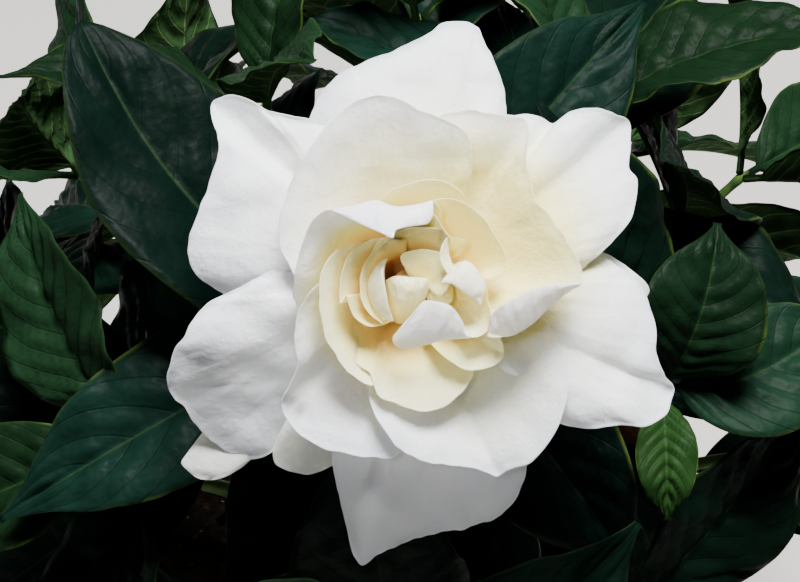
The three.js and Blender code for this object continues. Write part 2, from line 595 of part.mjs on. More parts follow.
// Petals in the bloom's own frame: X to the right, Y up, Z towards whoever looks into the bloom.
// Each is a fan of lines from its root to its rim. A line's height goes as its length to the power of rise:
// under 1 the petal spreads flat early, over 1 it stands up as the wall of a cup.
const PETALS = {
  back_right: {
    root: [4, -1, -15], rise: 0.6,
    rim: [
      [28, 8, -12], [36, 5, -10], [40.5, 1.6, -9], [42.4, -0.8, -9.5], [41.3, -3.3, -10], [38, -10, -11],
      [28, -14, -12],
    ],
  },
  back_low_left: {
    root: [-3, -4, -15], rise: 0.6,
    rim: [
      [-26, -14, -14], [-34, -23, -13], [-37.2, -27, -12.5], [-40.4, -31.3, -13], [-38.5, -33.2, -14],
      [-35.3, -34, -14], [-31.5, -32.8, -14], [-27, -30, -14], [-18, -20, -14],
    ],
  },
  back_low: {
    root: [-2, -5, -15], rise: 0.6,
    rim: [
      [-18, -16, -12], [-23, -25, -10.5], [-24.8, -30, -10.5], [-24.2, -32.5, -11.5], [-21, -33.9, -12.5],
      [-17.5, -33.8, -12.5], [-13, -31.5, -12], [-8, -24, -11.5], [-5, -15, -12],
    ],
  },
  outer_right: {
    root: [4, -2, -15], rise: 0.55,
    rim: [
      [18, 8, -10], [26, 7, -6.5], [32.6, 5.6, -5], [38, 2.4, -4], [41, -1, -3.5], [43, -6.5, -3],
      [43.4, -12, -3], [45, -16, -4], [46.8, -18.7, -6.5], [45.3, -22.5, -5], [42, -25, -3],
      [37, -24.8, -2.5], [31, -25.4, -3], [25, -24, -4], [15, -15, -9],
    ],
  },
  outer_up_right: {
    root: [4, 2, -15], rise: 0.55,
    rim: [
      [12, 20, -8], [16.5, 29.5, -5], [19, 30.2, -4.5], [22.5, 30, -4], [25.2, 28.8, -5], [28, 30.6, -2.5],
      [32, 31.1, -2], [36, 30.4, -3], [38.5, 29.2, -5.5], [38.8, 25, -4.5], [38.3, 20.8, -3],
      [39.8, 18.7, -2], [39.2, 13.5, -1], [37, 9.5, -0.5], [32.5, 5, -1], [27, 1, -3], [17, -4, -8],
    ],
  },
  outer_up: {
    root: [1, 4, -15], rise: 0.55,
    rim: [
      [-12, 15, -8], [-17.5, 26, -5], [-18, 30, -4.5], [-15.2, 35, -3.5], [-11, 38.3, -3], [-5, 40.7, -3],
      [0, 43, -3.5], [3.2, 44.8, -4.5], [6.5, 47, -6], [11, 46.4, -5.5], [13, 43, -3], [15.2, 38, -1.5],
      [16.7, 31, -1.5], [15.5, 22, -3.5], [10, 12, -8],
    ],
  },
  outer_up_left: {
    root: [-4, 3, -15], rise: 0.55,
    rim: [
      [-12, 0, -11], [-22, -3.5, -7.5], [-30, -3.5, -6.5], [-35, -0.7, -6], [-38.3, 2, -5], [-39.8, 6, -4],
      [-38.7, 11, -3], [-36.2, 17, -2.5], [-34.5, 22.5, -2.5], [-34.3, 26.5, -3.5], [-35.8, 30.3, -6.5],
      [-35.4, 33, -7.5], [-32, 33.8, -5], [-29, 32.8, -3], [-25, 30.6, -1.5], [-19, 29.2, -1],
      [-14, 28, -1], [-9, 22, -3], [-5, 13, -8],
    ],
  },
  outer_left: {
    root: [-4, -2, -15], rise: 0.55,
    rim: [
      [-12, 4, -9], [-20.5, 2.8, -2.5], [-25, 2.4, -1.5], [-30, -0.3, -1.5], [-35.8, -3.1, -2],
      [-38.3, -5.5, -2.5], [-40.2, -9, -3.5], [-42, -11.2, -5], [-43.3, -15, -7.5], [-43.5, -17.5, -9],
      [-42.3, -20.2, -10], [-40.3, -22, -10], [-38.3, -25.5, -10.5], [-35, -29, -11.5], [-31, -31, -12.5],
      [-27, -31, -12.5], [-24, -29, -12], [-19, -23, -10.5], [-11, -13, -10],
    ],
  },
  outer_down: {
    root: [0, -5, -9], rise: 1.5,
    rim: [
      [-10, -16, -10], [-13, -24, -9], [-14, -30, -9.5], [-13.3, -35, -11], [-11.8, -41, -13.5],
      [-10.3, -46.3, -15], [-8.6, -49, -15.5], [-6, -47.2, -15], [-2, -45.2, -14.5], [4, -43.5, -14],
      [10, -42.3, -14], [15, -40.5, -14], [18.3, -37, -13], [20.2, -32, -11], [19.5, -25, -9.5],
      [13, -15, -10],
    ],
  },
  inner_down_left: {
    root: [-4, -3, -12], rise: 0.75,
    rim: [
      [-10, 4, -3], [-16.3, 0, 5.5], [-18.5, -2.5, 5], [-20, -5.5, 4], [-20.4, -10, 3], [-20.1, -14, 1.5],
      [-21.5, -17.8, -1], [-23, -20.8, -3], [-21.8, -24, -3.5], [-18, -27.8, -3], [-14, -29.3, -2.5],
      [-8, -30.3, -2.5], [-3.5, -30.2, -2.5], [0, -27, -3], [0, -17, -5], [-1, -10, -8],
    ],
  },
  inner_down_right: {
    root: [2, -4, -12], rise: 0.75,
    rim: [
      [14, -4, -5], [22.5, -5.5, -1.5], [25, -9, -0.5], [26.8, -13.5, 0.5], [27.2, -18, 1],
      [26.2, -23.5, 1], [23.5, -28.5, 0], [20, -31.5, -1], [17, -32.8, -2], [15.2, -33.8, -3],
      [13, -33, -2], [8, -31.8, 0], [3, -31, 1], [-2, -28.8, 1.5], [-5, -25.3, 2], [-6.6, -22, 1.5],
      [-7.6, -18.5, 0.5], [-6, -12, -3],
    ],
  },
  inner_right: {
    root: [3, 1, -12], rise: 1,
    rim: [
      [1, 12, -4], [3, 25, 2.5], [5, 29.6, 4.5], [9, 30.1, 5.5], [13, 29.9, 6], [16.5, 29.4, 6],
      [19.6, 28.8, 5.5], [20.3, 26.8, 6], [19.7, 24, 7], [19.9, 20, 7.5], [20.8, 16.5, 8], [21.5, 14.1, 8],
      [23, 12.8, 8], [25.5, 9.5, 8.5], [27.8, 5.8, 9], [29.2, 2.3, 9.5], [28.9, 0.2, 10],
      [26, -1.6, 10.5], [23, -4.2, 11], [20.2, -6.8, 11], [16.5, -8.7, 10.5], [13, -9, 8], [8, -6, 0],
    ],
  },
  inner_up_left: {
    root: [-3, 3, -12], rise: 1,
    rim: [
      [-12, -4, -5], [-19.5, -0.5, 1], [-21.2, 3, 3], [-23, 6.5, 4], [-23.3, 10, 5], [-22, 15, 6],
      [-19.5, 20.5, 6.5], [-15, 27.3, 7], [-11, 31, 7.5], [-6.5, 32.5, 8], [-2, 32.1, 8.5], [0.8, 30.4, 9],
      [4.5, 28.8, 9], [8.3, 27.2, 8.5], [9.8, 25.4, 8], [10.4, 21.5, 7], [10, 14, 2],
    ],
  },
  inner_left: {
    root: [-4, 2, -12], rise: 1.2,
    rim: [
      [-13, -14, -4], [-17.5, -11, -2], [-19.6, -7, 0], [-20.6, -2, 3], [-20.2, 2, 6.5], [-19, 7, 9],
      [-17.3, 10.8, 11], [-15, 12.7, 12], [-12.5, 12.9, 12], [-10, 13.5, 12], [-6.2, 14.3, 12],
      [-3, 13.3, 12], [0, 13.5, 12], [3.5, 14.3, 11.5], [5, 12, 8], [3, 7, 2],
    ],
  },
  cup_up: {
    root: [1, 4, -9], rise: 1.3,
    rim: [
      [-8, 10, 1], [-6, 14.5, 4], [-4, 16, 5], [-1, 17.4, 5.5], [3.5, 18.4, 6], [6.5, 17.5, 5.5],
      [9, 15.6, 5], [10, 12, 2], [8, 8, -2],
    ],
  },
  cup_right: {
    root: [4, 3, -9], rise: 1.3,
    rim: [
      [1, 10, 2], [3.6, 14.6, 6], [6.5, 15, 6.5], [9.5, 13.8, 7], [12.3, 11.6, 7], [14.7, 8, 7],
      [16.3, 4.5, 7], [16.2, 2.8, 7], [14.3, 1.4, 7], [12.3, 0.9, 6.5], [10, -1, 3],
    ],
  },
  cup_down: {
    root: [-1, -4, -9], rise: 0.8,
    rim: [
      [-9, -2, -2], [-10.4, -7, 1], [-11, -12.3, 2.5], [-9, -14.2, 3], [-7.4, -15.2, 3], [-6.7, -17.5, 3],
      [-5.8, -19.4, 3], [-2, -21, 3], [2.5, -22, 3], [6.2, -21, 3], [9, -18.4, 2.5], [10.6, -15.2, 2],
      [10, -10, 0],
    ],
  },
  lip_down: {
    root: [3, -4, -7], rise: 1,
    rim: [
      [2, -9, 0], [3.5, -10.5, 3], [6, -12.9, 4.5], [9.5, -14.7, 5], [13, -14.3, 5.5], [15.3, -13, 6],
      [15.7, -10.5, 7], [14.5, -8.5, 8], [12.5, -7, 7],
    ],
  },
  cup_left: {
    root: [-3, 0, -8], rise: 1.3,
    rim: [
      [-8, 8, 3], [-12.2, 6.6, 6], [-14.8, 4, 7], [-16.1, 0, 7.5], [-15.8, -5, 7], [-14.4, -10, 6],
      [-11.5, -14.6, 4.5], [-8.5, -16.9, 3.5], [-6.8, -17.3, 3], [-4, -14, 0],
    ],
  },
  cup_low_right: {
    root: [3, 0, -6], rise: 1.3,
    rim: [
      [4, 4, 6], [7, 2.6, 9], [8.7, 4, 9.6], [10.2, 3.5, 9.6], [11.4, 2, 9.6], [12.4, 0.3, 9.2],
      [13, -2.5, 8.8], [13.4, -5, 8.5], [13, -7.7, 8.5], [11.5, -8.8, 8.5], [9.8, -9, 8.5], [8, -7, 5],
    ],
  },
  swirl_left: {
    root: [-2, 0, -7], rise: 1.5,
    rim: [
      [-2, 8.3, 6], [-6, 8, 7], [-9.5, 6.5, 8], [-11.8, 3, 8.5], [-12.6, -1, 8.5], [-12.3, -3.2, 8],
      [-11.4, -1.8, 8.5], [-10.9, -3.6, 8], [-10, -5.6, 7], [-7.6, -7, 6], [-5.4, -7.1, 5], [-3, -6, 2],
    ],
  },
  swirl_up: {
    root: [1, 3, -6], rise: 1.5,
    rim: [
      [-6, 6, 6], [-3, 9.5, 9], [1, 11.5, 9.5], [3.5, 12, 10], [5, 10.2, 10], [6.6, 8.4, 9.5],
      [9.2, 7.6, 8.5], [8, 5, 4],
    ],
  },
  swirl_up_inner: {
    root: [0, 2, -6], rise: 1.5,
    rim: [
      [-8, 3, 4], [-6.5, 6.5, 6], [-3, 8.6, 7], [1.5, 8.8, 7.5], [5.6, 8.8, 8], [6.3, 6.5, 6],
    ],
  },
  swirl_right: {
    root: [4, 1, -6], rise: 1.3,
    rim: [
      [5, 9, 7], [6.2, 8.7, 8], [6.2, 6, 8], [6.7, 4, 8], [7.8, 2.4, 8], [8, 0, 6],
    ],
  },
  swirl_inner: {
    root: [-1, 0, -5], rise: 1.6,
    rim: [
      [-1, 7.6, 6], [-4, 7.5, 6.5], [-7, 5.5, 7], [-8.8, 2, 7.5], [-8.8, -2, 7.5], [-7.3, -5.2, 7],
      [-5, -6.8, 6.5],
    ],
  },
};

const HEART = {
  heart_low: {
    root: [-1.2, -2, 9], rise: 2,
    rim: [
      [-4.6, 1, 5.5], [-3, 1.9, 6.5], [0, 1.6, 7.5], [2.7, 0.9, 6.5], [2.6, -1.5, 5.5], [1.2, -4.4, 4],
      [-0.3, -6.4, 3], [-3, -6.5, 3], [-4.2, -3, 4.5],
    ],
  },
  heart_up: {
    root: [2, 3, 8], rise: 2,
    rim: [
      [-1.3, 4.7, 4], [0.5, 5.6, 4.5], [3.5, 5, 4.5], [5, 3.2, 4], [5.2, 1.2, 3.5], [3.5, -0.5, 4],
      [0.5, 0.5, 5], [-1, 2.6, 5],
    ],
  },
};

const FOLDS = {
  fold_right: {
    belly: 0.8,
    hem: [
      [28.9, 0.1, 10], [26, -1.6, 10.5], [23, -4.2, 11], [20.2, -6.8, 11], [16.5, -8.7, 10.5],
      [13.2, -8.2, 10],
    ],
    edge: [
      [28.6, 0.3, 10.6], [25, 0.2, 12.8], [21.6, -0.3, 14.2], [18.8, -1.4, 15], [16.3, -2.6, 15.2],
      [14.4, -4, 14.6], [13.4, -5.2, 13.6], [12.8, -7.2, 11.8],
    ],
  },
  fold_up: {
    belly: 0.6,
    hem: [
      [-13.8, 12.8, 12], [-10, 13.5, 12], [-6.2, 14.3, 12], [-3, 13.3, 12], [0, 13.5, 12],
      [3.5, 14.3, 11.5],
    ],
    edge: [
      [-13.2, 12.3, 12.8], [-8.2, 10, 14.8], [-5, 8.6, 15.8], [-3.3, 7.9, 16.2], [-2.8, 9.2, 15.6],
      [-0.2, 9.9, 14.8], [2.6, 10.4, 13.8], [3.7, 12, 12.6],
    ],
  },
  fold_down: {
    belly: 1,
    hem: [
      [-0.5, -6.8, 7.5], [-3.2, -8.9, 7.5], [-3, -10.3, 7.5], [-1, -11, 7.5], [2, -10.3, 8],
      [6, -9.3, 8.5], [9.8, -9.1, 9],
    ],
    edge: [
      [1.2, -4.5, 11], [1.4, -3.4, 12], [2, -2.7, 12.5], [4, -2.8, 13], [6.4, -3.5, 13], [8, -5.3, 12],
      [9.8, -8.8, 9.6],
    ],
  },
  fold_low_right: {
    belly: 0.6,
    hem: [
      [5, 0.6, 9], [7, 2.6, 9.5], [8.7, 4, 10], [10.2, 3.5, 10], [11.4, 2, 10], [12.4, 0.3, 9.5],
      [12.3, -1.7, 9], [11.7, -3.6, 8.5],
    ],
    edge: [
      [5, 0.3, 10], [6, 0.3, 11], [7, 0, 11.5], [8, -0.8, 11.5], [9, -1.5, 11], [10, -2.2, 10.5],
      [11, -3, 9.5], [11.6, -3.8, 9],
    ],
  },
  curl_right: {
    belly: 0.3,
    hem: [
      [6.2, 8.6, 8], [6.1, 6, 7.5], [6.6, 4, 7.5], [7.7, 2.5, 7.5],
    ],
    edge: [
      [6, 8.4, 8.5], [4.9, 6.3, 10], [4.8, 4, 10], [6.4, 1.4, 9],
    ],
  },
  crescent: {
    belly: 0.8,
    hem: [
      [-4.2, 4.6, 6], [-6.4, 3, 6], [-7.6, 0, 6], [-7, -3, 6], [-5.5, -5.2, 6], [-3.4, -6.3, 6],
    ],
    edge: [
      [-4.4, 4.4, 9], [-4.8, 2.5, 9.8], [-4.7, 0.5, 10], [-4.4, -1.5, 10], [-4, -3.7, 9.5],
      [-3.2, -6.2, 8],
    ],
  },
};
const THROAT = [
  [0, -21], [3.4, -20.5], [5.2, -17.5], [7.4, -14.5], [8.2, -11.5], [7.6, -8], [5.5, -5], [0, -4],
];
const FAN = { start: 0.16, rows: 3, rimShare: 0.53, steepest: 0.34, heartFloor: -6 };

/** Points spread evenly by chord along a smooth curve through the given ones. */
function smoothLine(points, count) {
  const p = points.map((q) => vec(...q));
  const chord = [0];
  for (let i = 1; i < p.length; i += 1) chord.push(chord[i - 1] + p[i].distanceTo(p[i - 1]));
  const slope = p.map((_, i) => {
    const a = Math.max(0, i - 1);
    const b = Math.min(p.length - 1, i + 1);
    return p[b].clone().sub(p[a]).divideScalar(chord[b] - chord[a]);
  });
  return Array.from({ length: count }, (_, k) => {
    const t = (chord[chord.length - 1] * k) / (count - 1);
    let i = 0;
    while (i < p.length - 2 && t > chord[i + 1]) i += 1;
    const h = chord[i + 1] - chord[i];
    const s = (t - chord[i]) / h;
    return p[i].clone().multiplyScalar(2 * s ** 3 - 3 * s ** 2 + 1)
      .addScaledVector(slope[i], (s ** 3 - 2 * s ** 2 + s) * h)
      .addScaledVector(p[i + 1], -2 * s ** 3 + 3 * s ** 2)
      .addScaledVector(slope[i + 1], (s ** 3 - s ** 2) * h);
  });
}

/** Rows of points of a petal, from near its root to its rim. */
function fanRows({ root, rise, rim }, across, rows) {
  const foot = vec(...root);
  const edge = smoothLine(rim, across);
  return Array.from({ length: rows }, (_, j) => {
    const v = FAN.start + (1 - FAN.start) * (j / (rows - 1));
    return edge.map((p) => vec(
      foot.x + v * (p.x - foot.x),
      foot.y + v * (p.y - foot.y),
      foot.z + v ** rise * (p.z - foot.z),
    ));
  });
}

/** Rows of points between a fold's hem and its free edge, bellied towards the viewer. */
function foldRows({ belly, hem, edge }, across, rows) {
  const from = smoothLine(hem, across);
  const to = smoothLine(edge, across);
  return Array.from({ length: rows }, (_, j) => {
    const v = j / (rows - 1);
    return from.map((p, i) => p.clone().lerp(to[i], v).add(vec(0, 0, 4 * belly * v * (1 - v))));
  });
}

/** A sheet of rows of points as a closed solid: thickened along Z, more where it is steep. */
function sheetSolid(rows, thickness) {
  const height = rows.length;
  const width = rows[0].length;
  const at = (j, i) => rows[Math.min(Math.max(j, 0), height - 1)][Math.min(Math.max(i, 0), width - 1)];
  const points = [];
  for (let j = 0; j < height; j += 1) {
    for (let i = 0; i < width; i += 1) {
      const normal = at(j, i + 1).clone().sub(at(j, i - 1)).cross(at(j + 1, i).clone().sub(at(j - 1, i)));
      const level = Math.max(FAN.steepest, Math.abs(normal.normalize().z));
      const half = vec(0, 0, thickness / 2 / level);
      points.push(at(j, i).clone().sub(half), at(j, i).clone().add(half));
    }
  }
  const under = (j, i) => 2 * (j * width + i);
  const over = (j, i) => 2 * (j * width + i) + 1;
  const triangles = [];
  const quad = (a, b, c, d) => triangles.push([a, b, c], [a, c, d]);
  for (let j = 0; j < height - 1; j += 1) {
    for (let i = 0; i < width - 1; i += 1) {
      quad(over(j, i), over(j, i + 1), over(j + 1, i + 1), over(j + 1, i));
      triangles.push([under(j, i), under(j + 1, i + 1), under(j, i + 1)]);
      triangles.push([under(j, i), under(j + 1, i), under(j + 1, i + 1)]);
    }
    quad(under(j, 0), over(j, 0), over(j + 1, 0), under(j + 1, 0));
    quad(over(j, width - 1), under(j, width - 1), under(j + 1, width - 1), over(j + 1, width - 1));
  }
  for (let i = 0; i < width - 1; i += 1) {
    quad(under(0, i), under(0, i + 1), over(0, i + 1), over(0, i));
    quad(over(height - 1, i), over(height - 1, i + 1), under(height - 1, i + 1), under(height - 1, i));
  }
  const body = solid(points, triangles);
  if (body.volume() > 0) return body;
  return solid(points, triangles.map(([a, b, c]) => [a, c, b]));
}

/** A rolled heart petal as a small domed post. */
function heartSolid({ root, rise, rim }) {
  const around = rim.length;
  const ring = (v) => rim.map(([x, y, z]) => vec(
    root[0] + v * (x - root[0]),
    root[1] + v * (y - root[1]),
    root[2] + v ** rise * (z - root[2]),
  ));
  const outer = ring(1);
  const points = [vec(...root), ...ring(0.55), ...outer, ...outer.map((p) => vec(p.x, p.y, FAN.heartFloor))];
  points.push(vec(root[0], root[1], FAN.heartFloor));
  const triangles = [];
  for (let i = 0; i < around; i += 1) {
    const k = (i + 1) % around;
    triangles.push([0, 1 + i, 1 + k]);
    for (const a of [1, 1 + around]) {
      triangles.push([a + i, a + around + i, a + around + k], [a + i, a + around + k, a + k]);
    }
    triangles.push([1 + 2 * around + i, points.length - 1, 1 + 2 * around + k]);
  }
  const body = solid(points, triangles);
  return body.volume() > 0 ? body : solid(points, triangles.map(([a, b, c]) => [a, c, b]));
}

/** How finely a line of this many points is followed. */
const followed = (line, share) => Math.max(5, Math.round(line.length * share));

function makeBloom() {
  const { petal, tubeRadius, tubeEnd } = BLOOM;
  const throat = turned(THROAT, 14);
  const stalk = turned(
    [[0, tubeEnd], [tubeRadius, tubeEnd], [tubeRadius + 0.3, -20], [3.2, -18], [0, -18]], 12,
  );
  const petals = Object.values(PETALS)
    .map((fan) => sheetSolid(fanRows(fan, followed(fan.rim, FAN.rimShare), FAN.rows), petal));
  const folds = Object.values(FOLDS)
    .map((fold) => sheetSolid(foldRows(fold, followed(fold.edge, 1), FAN.rows), petal));
  return fuse([throat, stalk, ...Object.values(HEART).map(heartSolid), ...petals, ...folds]);
}

// ---------------------------------------------------------------- the whole plant

const TERRACOTTA = finish(0xb5714a, 0.85);
const EARTH = finish(0x2e2118, 1);
const BARK = finish(0x6d5a45, 0.9);
const LEAF = finish(0x1d3a24, 0.4);
const PETAL = finish(0xf3f1ea, 0.6);

const plant = new THREE.Group();
plant.add(part('pot', makePot(), TERRACOTTA));
plant.add(part('soil', makeSoil(), EARTH));
plant.add(part('woody_stem', makeWoodyStem(), BARK));
SHOOTS.forEach(({ name }, i) => plant.add(part(name, makeShoot(name, routes[i]), LEAF)));
plant.add(part('flowering_shoot', makeFloweringShoot(), LEAF));
bloomFrame.add(part('bloom', makeBloom(), PETAL));
plant.add(bloomFrame);

export default plant;
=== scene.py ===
"""A potted gardenia: clay pot, soil, branched woody stem, leafy shoots and one open double bloom.

Every form is worked out in millimetres in the plant's own frame, +Z up, with its origin at the centre
of the pot's flat base, and goes into its mesh in metres. The bloom has a frame of its own: X to the
right, Y up and Z towards whoever looks into it.
"""

from __future__ import annotations

import logging
import math
from collections.abc import Callable, Sequence
from dataclasses import dataclass, field, replace
from enum import Enum
from functools import partial

import bpy
import numpy as np
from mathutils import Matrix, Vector

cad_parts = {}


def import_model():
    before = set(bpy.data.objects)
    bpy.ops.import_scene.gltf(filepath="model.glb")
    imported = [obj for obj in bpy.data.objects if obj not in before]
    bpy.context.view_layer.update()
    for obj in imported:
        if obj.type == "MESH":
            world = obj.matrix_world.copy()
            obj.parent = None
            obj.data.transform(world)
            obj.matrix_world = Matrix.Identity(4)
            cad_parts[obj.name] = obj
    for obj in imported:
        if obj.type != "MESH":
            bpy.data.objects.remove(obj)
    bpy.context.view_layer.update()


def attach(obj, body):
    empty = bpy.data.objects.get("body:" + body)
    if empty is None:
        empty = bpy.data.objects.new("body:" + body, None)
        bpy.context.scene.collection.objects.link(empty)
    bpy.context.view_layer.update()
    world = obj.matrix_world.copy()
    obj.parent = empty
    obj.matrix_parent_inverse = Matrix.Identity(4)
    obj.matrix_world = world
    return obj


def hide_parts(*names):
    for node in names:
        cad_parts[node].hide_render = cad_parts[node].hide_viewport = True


LOG = logging.getLogger("gardenia")
MM = 0.001
PHOTO_WIDTH, PHOTO_HEIGHT = 800, 582
Array = np.ndarray


# ------------------------------------------------------------------ sizes shared with the solids

POT_HEIGHT, POT_BASE, POT_SHOULDER, POT_RIM, POT_RIM_HEIGHT = 130.0, 52.0, 68.0, 75.0, 26.0
POT_WALL, POT_FLOOR = 6.0, 7.0
SOIL_TOP, SOIL_CROWN, SOIL_LUMP = 117.0, 5.0, 1.6
STEM_FOOT, COLLAR, FORKS = 78.0, 146.0, 20.0
FOOT_RADIUS, COLLAR_RADIUS, BRANCH_RADIUS, BRANCH_END = 6.2, 4.2, 2.7, 2.1
CROWN_CENTRE, CROWN_WIDTH, CROWN_HEIGHT = (0.0, 4.0, 178.0), 92.0, 96.0
ELBOW_OUT, ELBOW_UP = 0.34, 0.6
BLOOM_CENTRE, BLOOM_ELEVATION = (0.0, -48.0, 288.0), 50.0
CALYX_FLOOR, CALYX_RIM, CALYX_RADIUS, CALYX_FOOT = -36.3, -33.6, 4.3, -43.0
SHOOT_START, SHOOT_RADIUS, SHOOT_TIP_RADIUS = 0.52, 1.75, 0.9
BLADE_THICKNESS, BLADE_CLEARANCE, BLADE_FOLD, STALK_HALF, STALK_SHARE = 0.8, 0.45, 0.26, 0.85, 0.08
# Whorls of leaves on a shoot, and the shares of its way to its top whorl and from one to the next.
WHORLS, WHORL_TOP, WHORL_STEP = 3, 0.985, 0.135
SEED = 4711
# How far apart the veins lie across a petal.
VEIN_MM = 0.9


# ------------------------------------------------------------------ small helpers


def linear(colour: str) -> tuple[float, float, float, float]:
    """An sRGB colour of six hex digits after a hash sign as linear, opaque RGBA."""
    parts = [int(colour[i : i + 2], 16) / 255 for i in (1, 3, 5)]
    return (*[c / 12.92 if c <= 0.04045 else ((c + 0.055) / 1.055) ** 2.4 for c in parts], 1.0)


def unit(v: Array) -> Array:
    """Vectors of length one along the last axis."""
    return v / np.maximum(np.linalg.norm(v, axis=-1, keepdims=True), 1e-12)


def beside(*parts: Array | float) -> Array:
    """Values side by side on a last axis, each spread over the shape that they share."""
    return np.stack(np.broadcast_arrays(*parts), -1)


def round_turns(count: int) -> Array:
    """Even turns round a circle in radians, from 0."""
    return np.linspace(0, 2 * math.pi, count, endpoint=False)


def step_lengths(points: Array | list[tuple]) -> Array:
    """Lengths of the steps from each point to the next."""
    return np.linalg.norm(np.diff(np.asarray(points, float), axis=0), axis=1)


def smooth(x: Array | float, low: float, high: float) -> Array:
    """Smooth step from 0 at low to 1 at high."""
    t = np.clip((np.asarray(x, float) - low) / (high - low), 0, 1)
    return t * t * (3 - 2 * t)


def draws_from(seed: int) -> Callable[[], float]:
    """Park-Miller draws in 0..1, the same as the solids use: a state times 16807, modulo 2^31 - 1.

    Args:
        seed: the first state.

    Returns:
        A function that gives the next draw.
    """
    state, modulus = seed, 2**31 - 1

    def draw() -> float:
        """The next draw."""
        nonlocal state
        state = state * 16807 % modulus
        return state / modulus

    return draw


def waves(points: Array, length: float, seed: int, octaves: int = 3) -> Array:
    """Soft bumps in space: a sum of sine waves in seeded directions, four to an octave.

    Args:
        points: positions in mm, with xyz on the last axis.
        length: the longest wave in mm.
        seed: picks the directions and phases.
        octaves: how many lengths are added, each half as long and half as high as the last.

    Returns:
        Heights within about -1..1.
    """
    rng = np.random.default_rng(seed)
    total = np.zeros(points.shape[:-1])
    for octave in range(octaves):
        for _ in range(4):
            way = unit(rng.normal(size=3)) * 2 * math.pi * 2**octave / length
            total += 0.5 ** (octave + 1) * np.sin(points @ way + rng.uniform(0, 2 * math.pi))
    return total / 2


def bloom_axes() -> tuple[Array, Array]:
    """The bloom's frame.

    Returns:
        Its centre in mm, and a matrix whose rows are its X, Y and Z directions.
    """
    tilt = math.radians(BLOOM_ELEVATION)
    rows = [(1, 0, 0), (0, math.sin(tilt), math.cos(tilt)), (0, -math.cos(tilt), math.sin(tilt))]
    return np.array(BLOOM_CENTRE), np.array(rows, float)


def from_bloom(points: Array) -> Array:
    """Points of the bloom's frame in the plant's frame."""
    centre, axes = bloom_axes()
    return np.asarray(points, float) @ axes + centre


def facing(direction: Array) -> Array:
    """A direction of the bloom's frame in the plant's frame, of length one."""
    return unit(np.asarray(direction, float) @ bloom_axes()[1])


# ------------------------------------------------------------------ meshes


@dataclass
class Surface:
    """Corners in mm, faces, and named values at the corners."""

    points: Array
    faces: list[Array]
    values: dict[str, Array] = field(default_factory=dict)

    def from_bloom(self) -> "Surface":
        """The surface carried from the bloom's frame into the plant's."""
        return Surface(from_bloom(self.points), self.faces, self.values)

    @staticmethod
    def joined(parts: list["Surface"]) -> "Surface":
        """One surface of several that stay loose from each other.

        Args:
            parts: surfaces with the same named values.

        Returns:
            All their corners and faces.
        """
        starts = np.cumsum([0] + [len(p.points) for p in parts])
        faces = [f + start for p, start in zip(parts, starts) for f in p.faces]
        values = {k: np.concatenate([p.values[k] for p in parts]) for k in parts[0].values}
        return Surface(np.concatenate([p.points for p in parts]), faces, values)

    def add_to_scene(self, name: str, material: bpy.types.Material) -> bpy.types.Object:
        """Makes the mesh object, smooth shaded, in metres.

        Args:
            name: the piece's name.
            material: its finish.

        Returns:
            The object, at the origin.
        """
        mesh = bpy.data.meshes.new(name)
        corners = np.concatenate([f.ravel() for f in self.faces])
        sizes = np.concatenate([np.full(len(f), f.shape[1]) for f in self.faces])
        mesh.vertices.add(len(self.points))
        mesh.vertices.foreach_set("co", (self.points * MM).astype(np.float32).ravel())
        mesh.loops.add(len(corners))
        mesh.loops.foreach_set("vertex_index", corners.astype(np.int32))
        mesh.polygons.add(len(sizes))
        mesh.polygons.foreach_set("loop_start", np.r_[0, np.cumsum(sizes)[:-1]].astype(np.int32))
        mesh.polygons.foreach_set("use_smooth", np.ones(len(sizes), bool))
        mesh.update(calc_edges=True)
        mesh.validate()
        for key, value in self.values.items():
            attribute = mesh.attributes.new(key, "FLOAT_VECTOR", "POINT")
            attribute.data.foreach_set("vector", value.astype(np.float32).ravel())
        mesh.materials.append(material)
        piece = bpy.data.objects.new(name, mesh)
        bpy.context.scene.collection.objects.link(piece)
        return piece


def grid_faces(rows: int, columns: int, wrap: bool = False, first: int = 0) -> Array:
    """Quads of a grid of corners, row by row.

    Args:
        rows: how many rows of corners.
        columns: corners in a row.
        wrap: whether the last column meets the first.
        first: number of the first corner.

    Returns:
        Four corner numbers a face.
    """
    i, j = np.meshgrid(np.arange(rows - 1), np.arange(columns if wrap else columns - 1), indexing="ij")
    k = (j + 1) % columns
    a, b = i * columns + j, i * columns + k
    return np.stack([a, b, b + columns, a + columns], -1).reshape(-1, 4) + first


def closed_sheet(over: Array, under: Array, values: dict[str, Array] | None = None) -> Surface:
    """A thin closed body between an upper and a lower grid of points.

    The faces point out where rows times columns, by the right hand, points up.

    Args:
        over: upper points, rows by columns by 3.
        under: lower points, alike.
        values: named values on the grid, rows by columns by 3; the third of "blade" is 1 below.

    Returns:
        The closed surface.
    """
    rows, columns = over.shape[:2]
    count = rows * columns
    row, side = np.arange(columns - 1), np.arange(rows - 1) * columns
    end, last = side + columns - 1, (rows - 1) * columns + row
    walls = [
        np.stack([row + count, row + 1 + count, row + 1, row], -1),
        np.stack([last, last + 1, last + 1 + count, last + count], -1),
        np.stack([side, side + columns, side + columns + count, side + count], -1),
        np.stack([end + count, end + columns + count, end + columns, end], -1),
    ]
    # Both faces are split along the same diagonal, so that neither pokes through where the sheet is thin.
    bottom = grid_faces(rows, columns, False, count)[:, [0, 3, 2, 1]]
    faces = np.concatenate([grid_faces(rows, columns), bottom, *walls])[:, ::-1]
    spread = {}
    for key, value in (values or {}).items():
        lower = value.copy()
        if key == "blade":
            lower[..., 2] = 1
        spread[key] = np.concatenate([value.reshape(-1, 3), lower.reshape(-1, 3)])
    return Surface(np.concatenate([over.reshape(-1, 3), under.reshape(-1, 3)]), [faces], spread)


